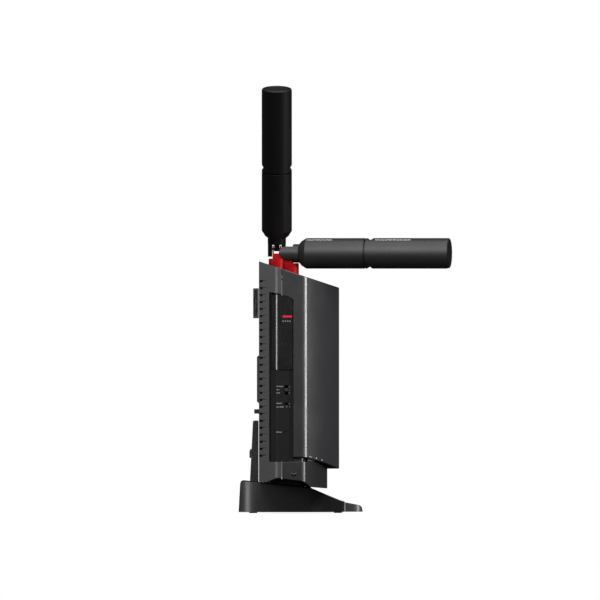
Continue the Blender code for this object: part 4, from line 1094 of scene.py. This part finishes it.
# %% Forked neck
def tab(bm, half_width, end, top, near, far, edge):
    """A plate in the XZ plane with a round lower end, from near to far along Y."""
    plate = bmesh.new()
    round_end = half_width * 0.999
    outline_face(plate, [(half_width, top, 0), (-half_width, top, 0),
                         (-half_width, end - half_width, round_end),
                         (half_width, end - half_width, round_end)], "XZ", 12)
    bmesh.ops.translate(plate, verts=plate.verts, vec=(0, near, 0))
    extrude(plate, Vector((0, far - near, 0)))
    soften(plate, edge, 3, 40)
    part = bpy.data.meshes.new("plate")
    plate.to_mesh(part)
    plate.free()
    bm.from_mesh(part)
    bpy.data.meshes.remove(part)


def lower_section(name):
    """Lower barrel with a forked, round-backed neck and a short tongue in the fork."""
    piece = linked(name, lower_barrel())
    fork = bmesh.new()
    for side in (-1, 1):
        near, far = sorted((side * 0.0040, side * 0.0085))
        tab(fork, 0.0058, -0.0009, 0.0099, near, far, 0.0003)
    ears = linked("ears", fork)
    round_back = rod("round_back", Matrix.Translation((0, 0, 0)), NECK_R - 0.0001, 0.03, STEPS)
    shape_with(ears, "INTERSECT", round_back)
    tongue = bmesh.new()
    tab(tongue, 0.0020, 0.0, 0.0060, -0.0023, 0.0023, 0.0002)
    return shape_with(piece, "UNION", ears, linked("tongue", tongue))


# %% [markdown]
# The red swivel base has a stepped collar that sits in the top panel, and a lug with a slot for
# the tongue and an eye for the pin.

# %% Swivel base
def swivel_base(name):
    """Red turret: a stepped collar, a lug for the pin and a slot for the tongue."""
    low = -PIN_ABOVE_TOP - 0.0058
    collar = [(0.0016, -FLANGE_BELOW_PIN)]
    collar += arc((TURRET_R - 0.0005, -FLANGE_BELOW_PIN - 0.0005), 0.0005, 90, 0, 3)
    collar += [(TURRET_R, low), (0.0084, low), (0.0084, low - 0.0015), (0.0016, low - 0.0015)]
    turret = linked(name, spun(collar))
    foot = 0.0041
    ear = 0.0027
    half = [(foot, -0.0088, 0), (foot, -0.0040, 0.0008), (ear, -0.0020, 0), (ear, ear, 0.00265)]
    outline = [(a - PIN_SETBACK, b, r) for a, b, r in half]
    outline += [(-a - PIN_SETBACK, b, r) for a, b, r in reversed(half)]
    lug = prism("lug", outline, -0.0037, 0.0037, "XZ", 6, 0.0003)
    shape_with(turret, "UNION", lug)
    pin_line = Matrix.Translation((-PIN_SETBACK, 0, 0)) @ Matrix.Rotation(math.radians(90), 4, "X")
    cut(turret, block("slot", (-0.02, -0.0026, -0.0040), (0.02, 0.0026, 0.01)),
        rod("eye", pin_line, 0.0013, 0.02))
    return turret


print("antenna shapes ready")

# %% [markdown]
# A layout line gives each antenna its row, its place across the case, the heading of its swivel
# and its fold. The upper barrels of the rear row are turned a quarter, so that their notches face
# sideways. The printed words are short plain dashes along the barrels; on the upright rear row the
# print and the end caps are darker, as painted shade.

# %% Place the four antennas
LAYOUT = [("front", -OUTER_Y, -9.5, 90.0), ("rear", -INNER_Y, -90.0, 12.0),
          ("rear", INNER_Y, 90.0, 12.0), ("front", OUTER_Y, 9.5, 90.0)]
PRINT_AT = [-151.0, 56.0, -56.0, 151.0]


def dashes(first, last, around, step=0.0012):
    """A row of short printed dashes along the barrel, at an angle around it."""
    bm = bmesh.new()
    turn = Matrix.Rotation(math.radians(around), 4, "Z")
    along = first
    while along < last:
        size = Matrix.Diagonal((0.00008, 0.0009, step * 0.6, 1))
        place = turn @ Matrix.Translation((ANTENNA_R, 0, along + step * 0.3)) @ size
        bmesh.ops.create_cube(bm, size=1, matrix=place)
        along += step
    return bm


def hung(piece, place, finish_given, body, slot, *nodes):
    piece.data.transform(place)
    return finish(piece, finish_given, body, slot, *nodes)


for index, ((row, y, heading, fold), around) in enumerate(zip(LAYOUT, PRINT_AT), start=1):
    name = f"antenna_{index}"
    swivel = Matrix.Translation((CASE_REAR + ROWS[row], y, top_at(ROWS[row]) + PIN_ABOVE_TOP)) \
        @ Matrix.Rotation(math.radians(heading), 4, "Z")
    hinge = swivel @ Matrix.Translation((-PIN_SETBACK, 0, 0)) \
        @ Matrix.Rotation(math.radians(fold), 4, "Y")
    quarter = Matrix.Rotation(math.radians(90 if row == "rear" else 0), 4, "Z")
    hung(swivel_base(f"{name}_turret"), swivel, RED, f"{name}_base", "red_plastic",
         f"{name}_swivel_base")
    hung(lower_section(f"{name}_lower_barrel"), hinge, ANTENNA, f"{name}_arm", "antenna_plastic",
         f"{name}_lower_section")
    bm = bmesh.new()
    bmesh.ops.create_cone(bm, cap_ends=True, segments=24, radius1=0.0010, radius2=0.0010,
                          depth=0.0150, matrix=Matrix.Rotation(math.radians(90), 4, "X"))
    soften(bm, 0.0002, 2)
    hung(linked(f"{name}_pin", bm), hinge, STEEL, f"{name}_arm", "plated_steel",
         f"{name}_hinge_pin")
    hung(upper_barrel(f"{name}_upper_barrel"), hinge @ quarter, ANTENNA, f"{name}_tip",
         "antenna_plastic", f"{name}_upper_section")
    # Painted shade: the upright rear row's end caps take the darker matte black; the front row's
    # keep the antenna plastic.
    hung(linked(f"{name}_end_cap", end_cap()), hinge, ANTENNA if row == "front" else DARK,
         f"{name}_tip", "antenna_plastic", f"{name}_tip_cap")
    # Painted shade: the upright rear row gets darker print than the front row.
    ink = BRIGHT_PRINT if row == "front" else SHADED_PRINT
    hung(linked(f"{name}_lower_print", dashes(0.0170, 0.0395, around)), hinge, ink,
         f"{name}_arm", "antenna_plastic")
    hung(linked(f"{name}_upper_print", dashes(0.0770, 0.1075, around)), hinge, ink,
         f"{name}_tip", "antenna_plastic")
print("antennas placed:", len(LAYOUT))

# %% [markdown]
# The side panels would draw bright lines down the antennas and the stand's front, and the high
# front panel would grey the upright antennas. A photographer would hold black cards in the way;
# here light linking lists what each panel may light. The weak panel is only for the upright
# antennas.

# %% Keep panels off some pieces
def shade(lamp, *starts):
    """A lamp lights every new piece but those whose names start with one of these."""
    lit = bpy.data.collections.new(lamp.name + "_lights")
    for piece in made_pieces:
        if not piece.name.startswith(starts):
            lit.objects.link(piece)
    lamp.light_linking.receiver_collection = lit


antenna_parts = [piece.name for piece in made_pieces
                 if piece.name.startswith("antenna") and not piece.name.endswith("turret")]
upright = [name for name in antenna_parts if name.startswith(("antenna_2", "antenna_3"))]
shade(left_panel, *antenna_parts)
shade(right_panel, *antenna_parts, "stand_foot")
shade(high_panel, *upright)
shade(upright_panel, *[piece.name for piece in made_pieces if piece.name not in upright])

# %% [markdown]
# ## Finishes of the measured parts that stay
#
# The board, its shield, the heat sink, the sockets, the bottom cover and the antennas' inner
# strips are already the right shape. They only need their materials.

# %% Finish the remaining parts
KEPT = {"main_board": BOARD, "shield_can": STEEL, "heat_sink": CAST, "internet_port": STEEL,
        "lan_ports": STEEL, "usb_port": STEEL, "power_jack": DARK, "bottom_cover": DARK}
for index in range(1, 5):
    KEPT[f"antenna_{index}_lower_element"] = BOARD
    KEPT[f"antenna_{index}_upper_element"] = BOARD
for node, material in KEPT.items():
    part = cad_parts[node]
    part.data.materials.clear()
    part.data.materials.append(material)
print("kept parts:", len(KEPT))

# %% [markdown]
# ## Floor
#
# A plain pale floor under the stand. It is a simple plate, large enough for every view.

# %% Floor
bm = bmesh.new()
bmesh.ops.create_grid(bm, x_segments=1, y_segments=1, size=1.6)
bmesh.ops.translate(bm, verts=bm.verts, vec=(0, 0, -0.0002))
floor = linked("floor", bm)
paper = bpy.data.materials.new("pale_floor")
paper.use_nodes = True
paper_tree = paper.node_tree
paper_tree.nodes.clear()
paper_out = paper_tree.nodes.new("ShaderNodeOutputMaterial")
for_eye = paper_tree.nodes.new("ShaderNodeAddShader")
glow = paper_tree.nodes.new("ShaderNodeEmission")
glow.inputs["Color"].default_value = (1, 1, 1, 1)
glow.inputs["Strength"].default_value = 0.93
matt = paper_tree.nodes.new("ShaderNodeBsdfDiffuse")
matt.inputs["Color"].default_value = (0.5, 0.5, 0.5, 1)
for_rest = paper_tree.nodes.new("ShaderNodeBsdfDiffuse")
for_rest.inputs["Color"].default_value = (0.10, 0.10, 0.10, 1)
ray = paper_tree.nodes.new("ShaderNodeLightPath")
pick = paper_tree.nodes.new("ShaderNodeMixShader")
paper_tree.links.new(glow.outputs[0], for_eye.inputs[0])
paper_tree.links.new(matt.outputs[0], for_eye.inputs[1])
paper_tree.links.new(ray.outputs["Is Camera Ray"], pick.inputs[0])
paper_tree.links.new(for_rest.outputs[0], pick.inputs[1])
paper_tree.links.new(for_eye.outputs[0], pick.inputs[2])
paper_tree.links.new(pick.outputs[0], paper_out.inputs["Surface"])
floor.data.materials.append(paper)

# %% Sizes
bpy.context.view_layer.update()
triangles = sum(len(piece.data.polygons) for piece in made_pieces)
print("pieces:", len(made_pieces), "faces:", triangles)
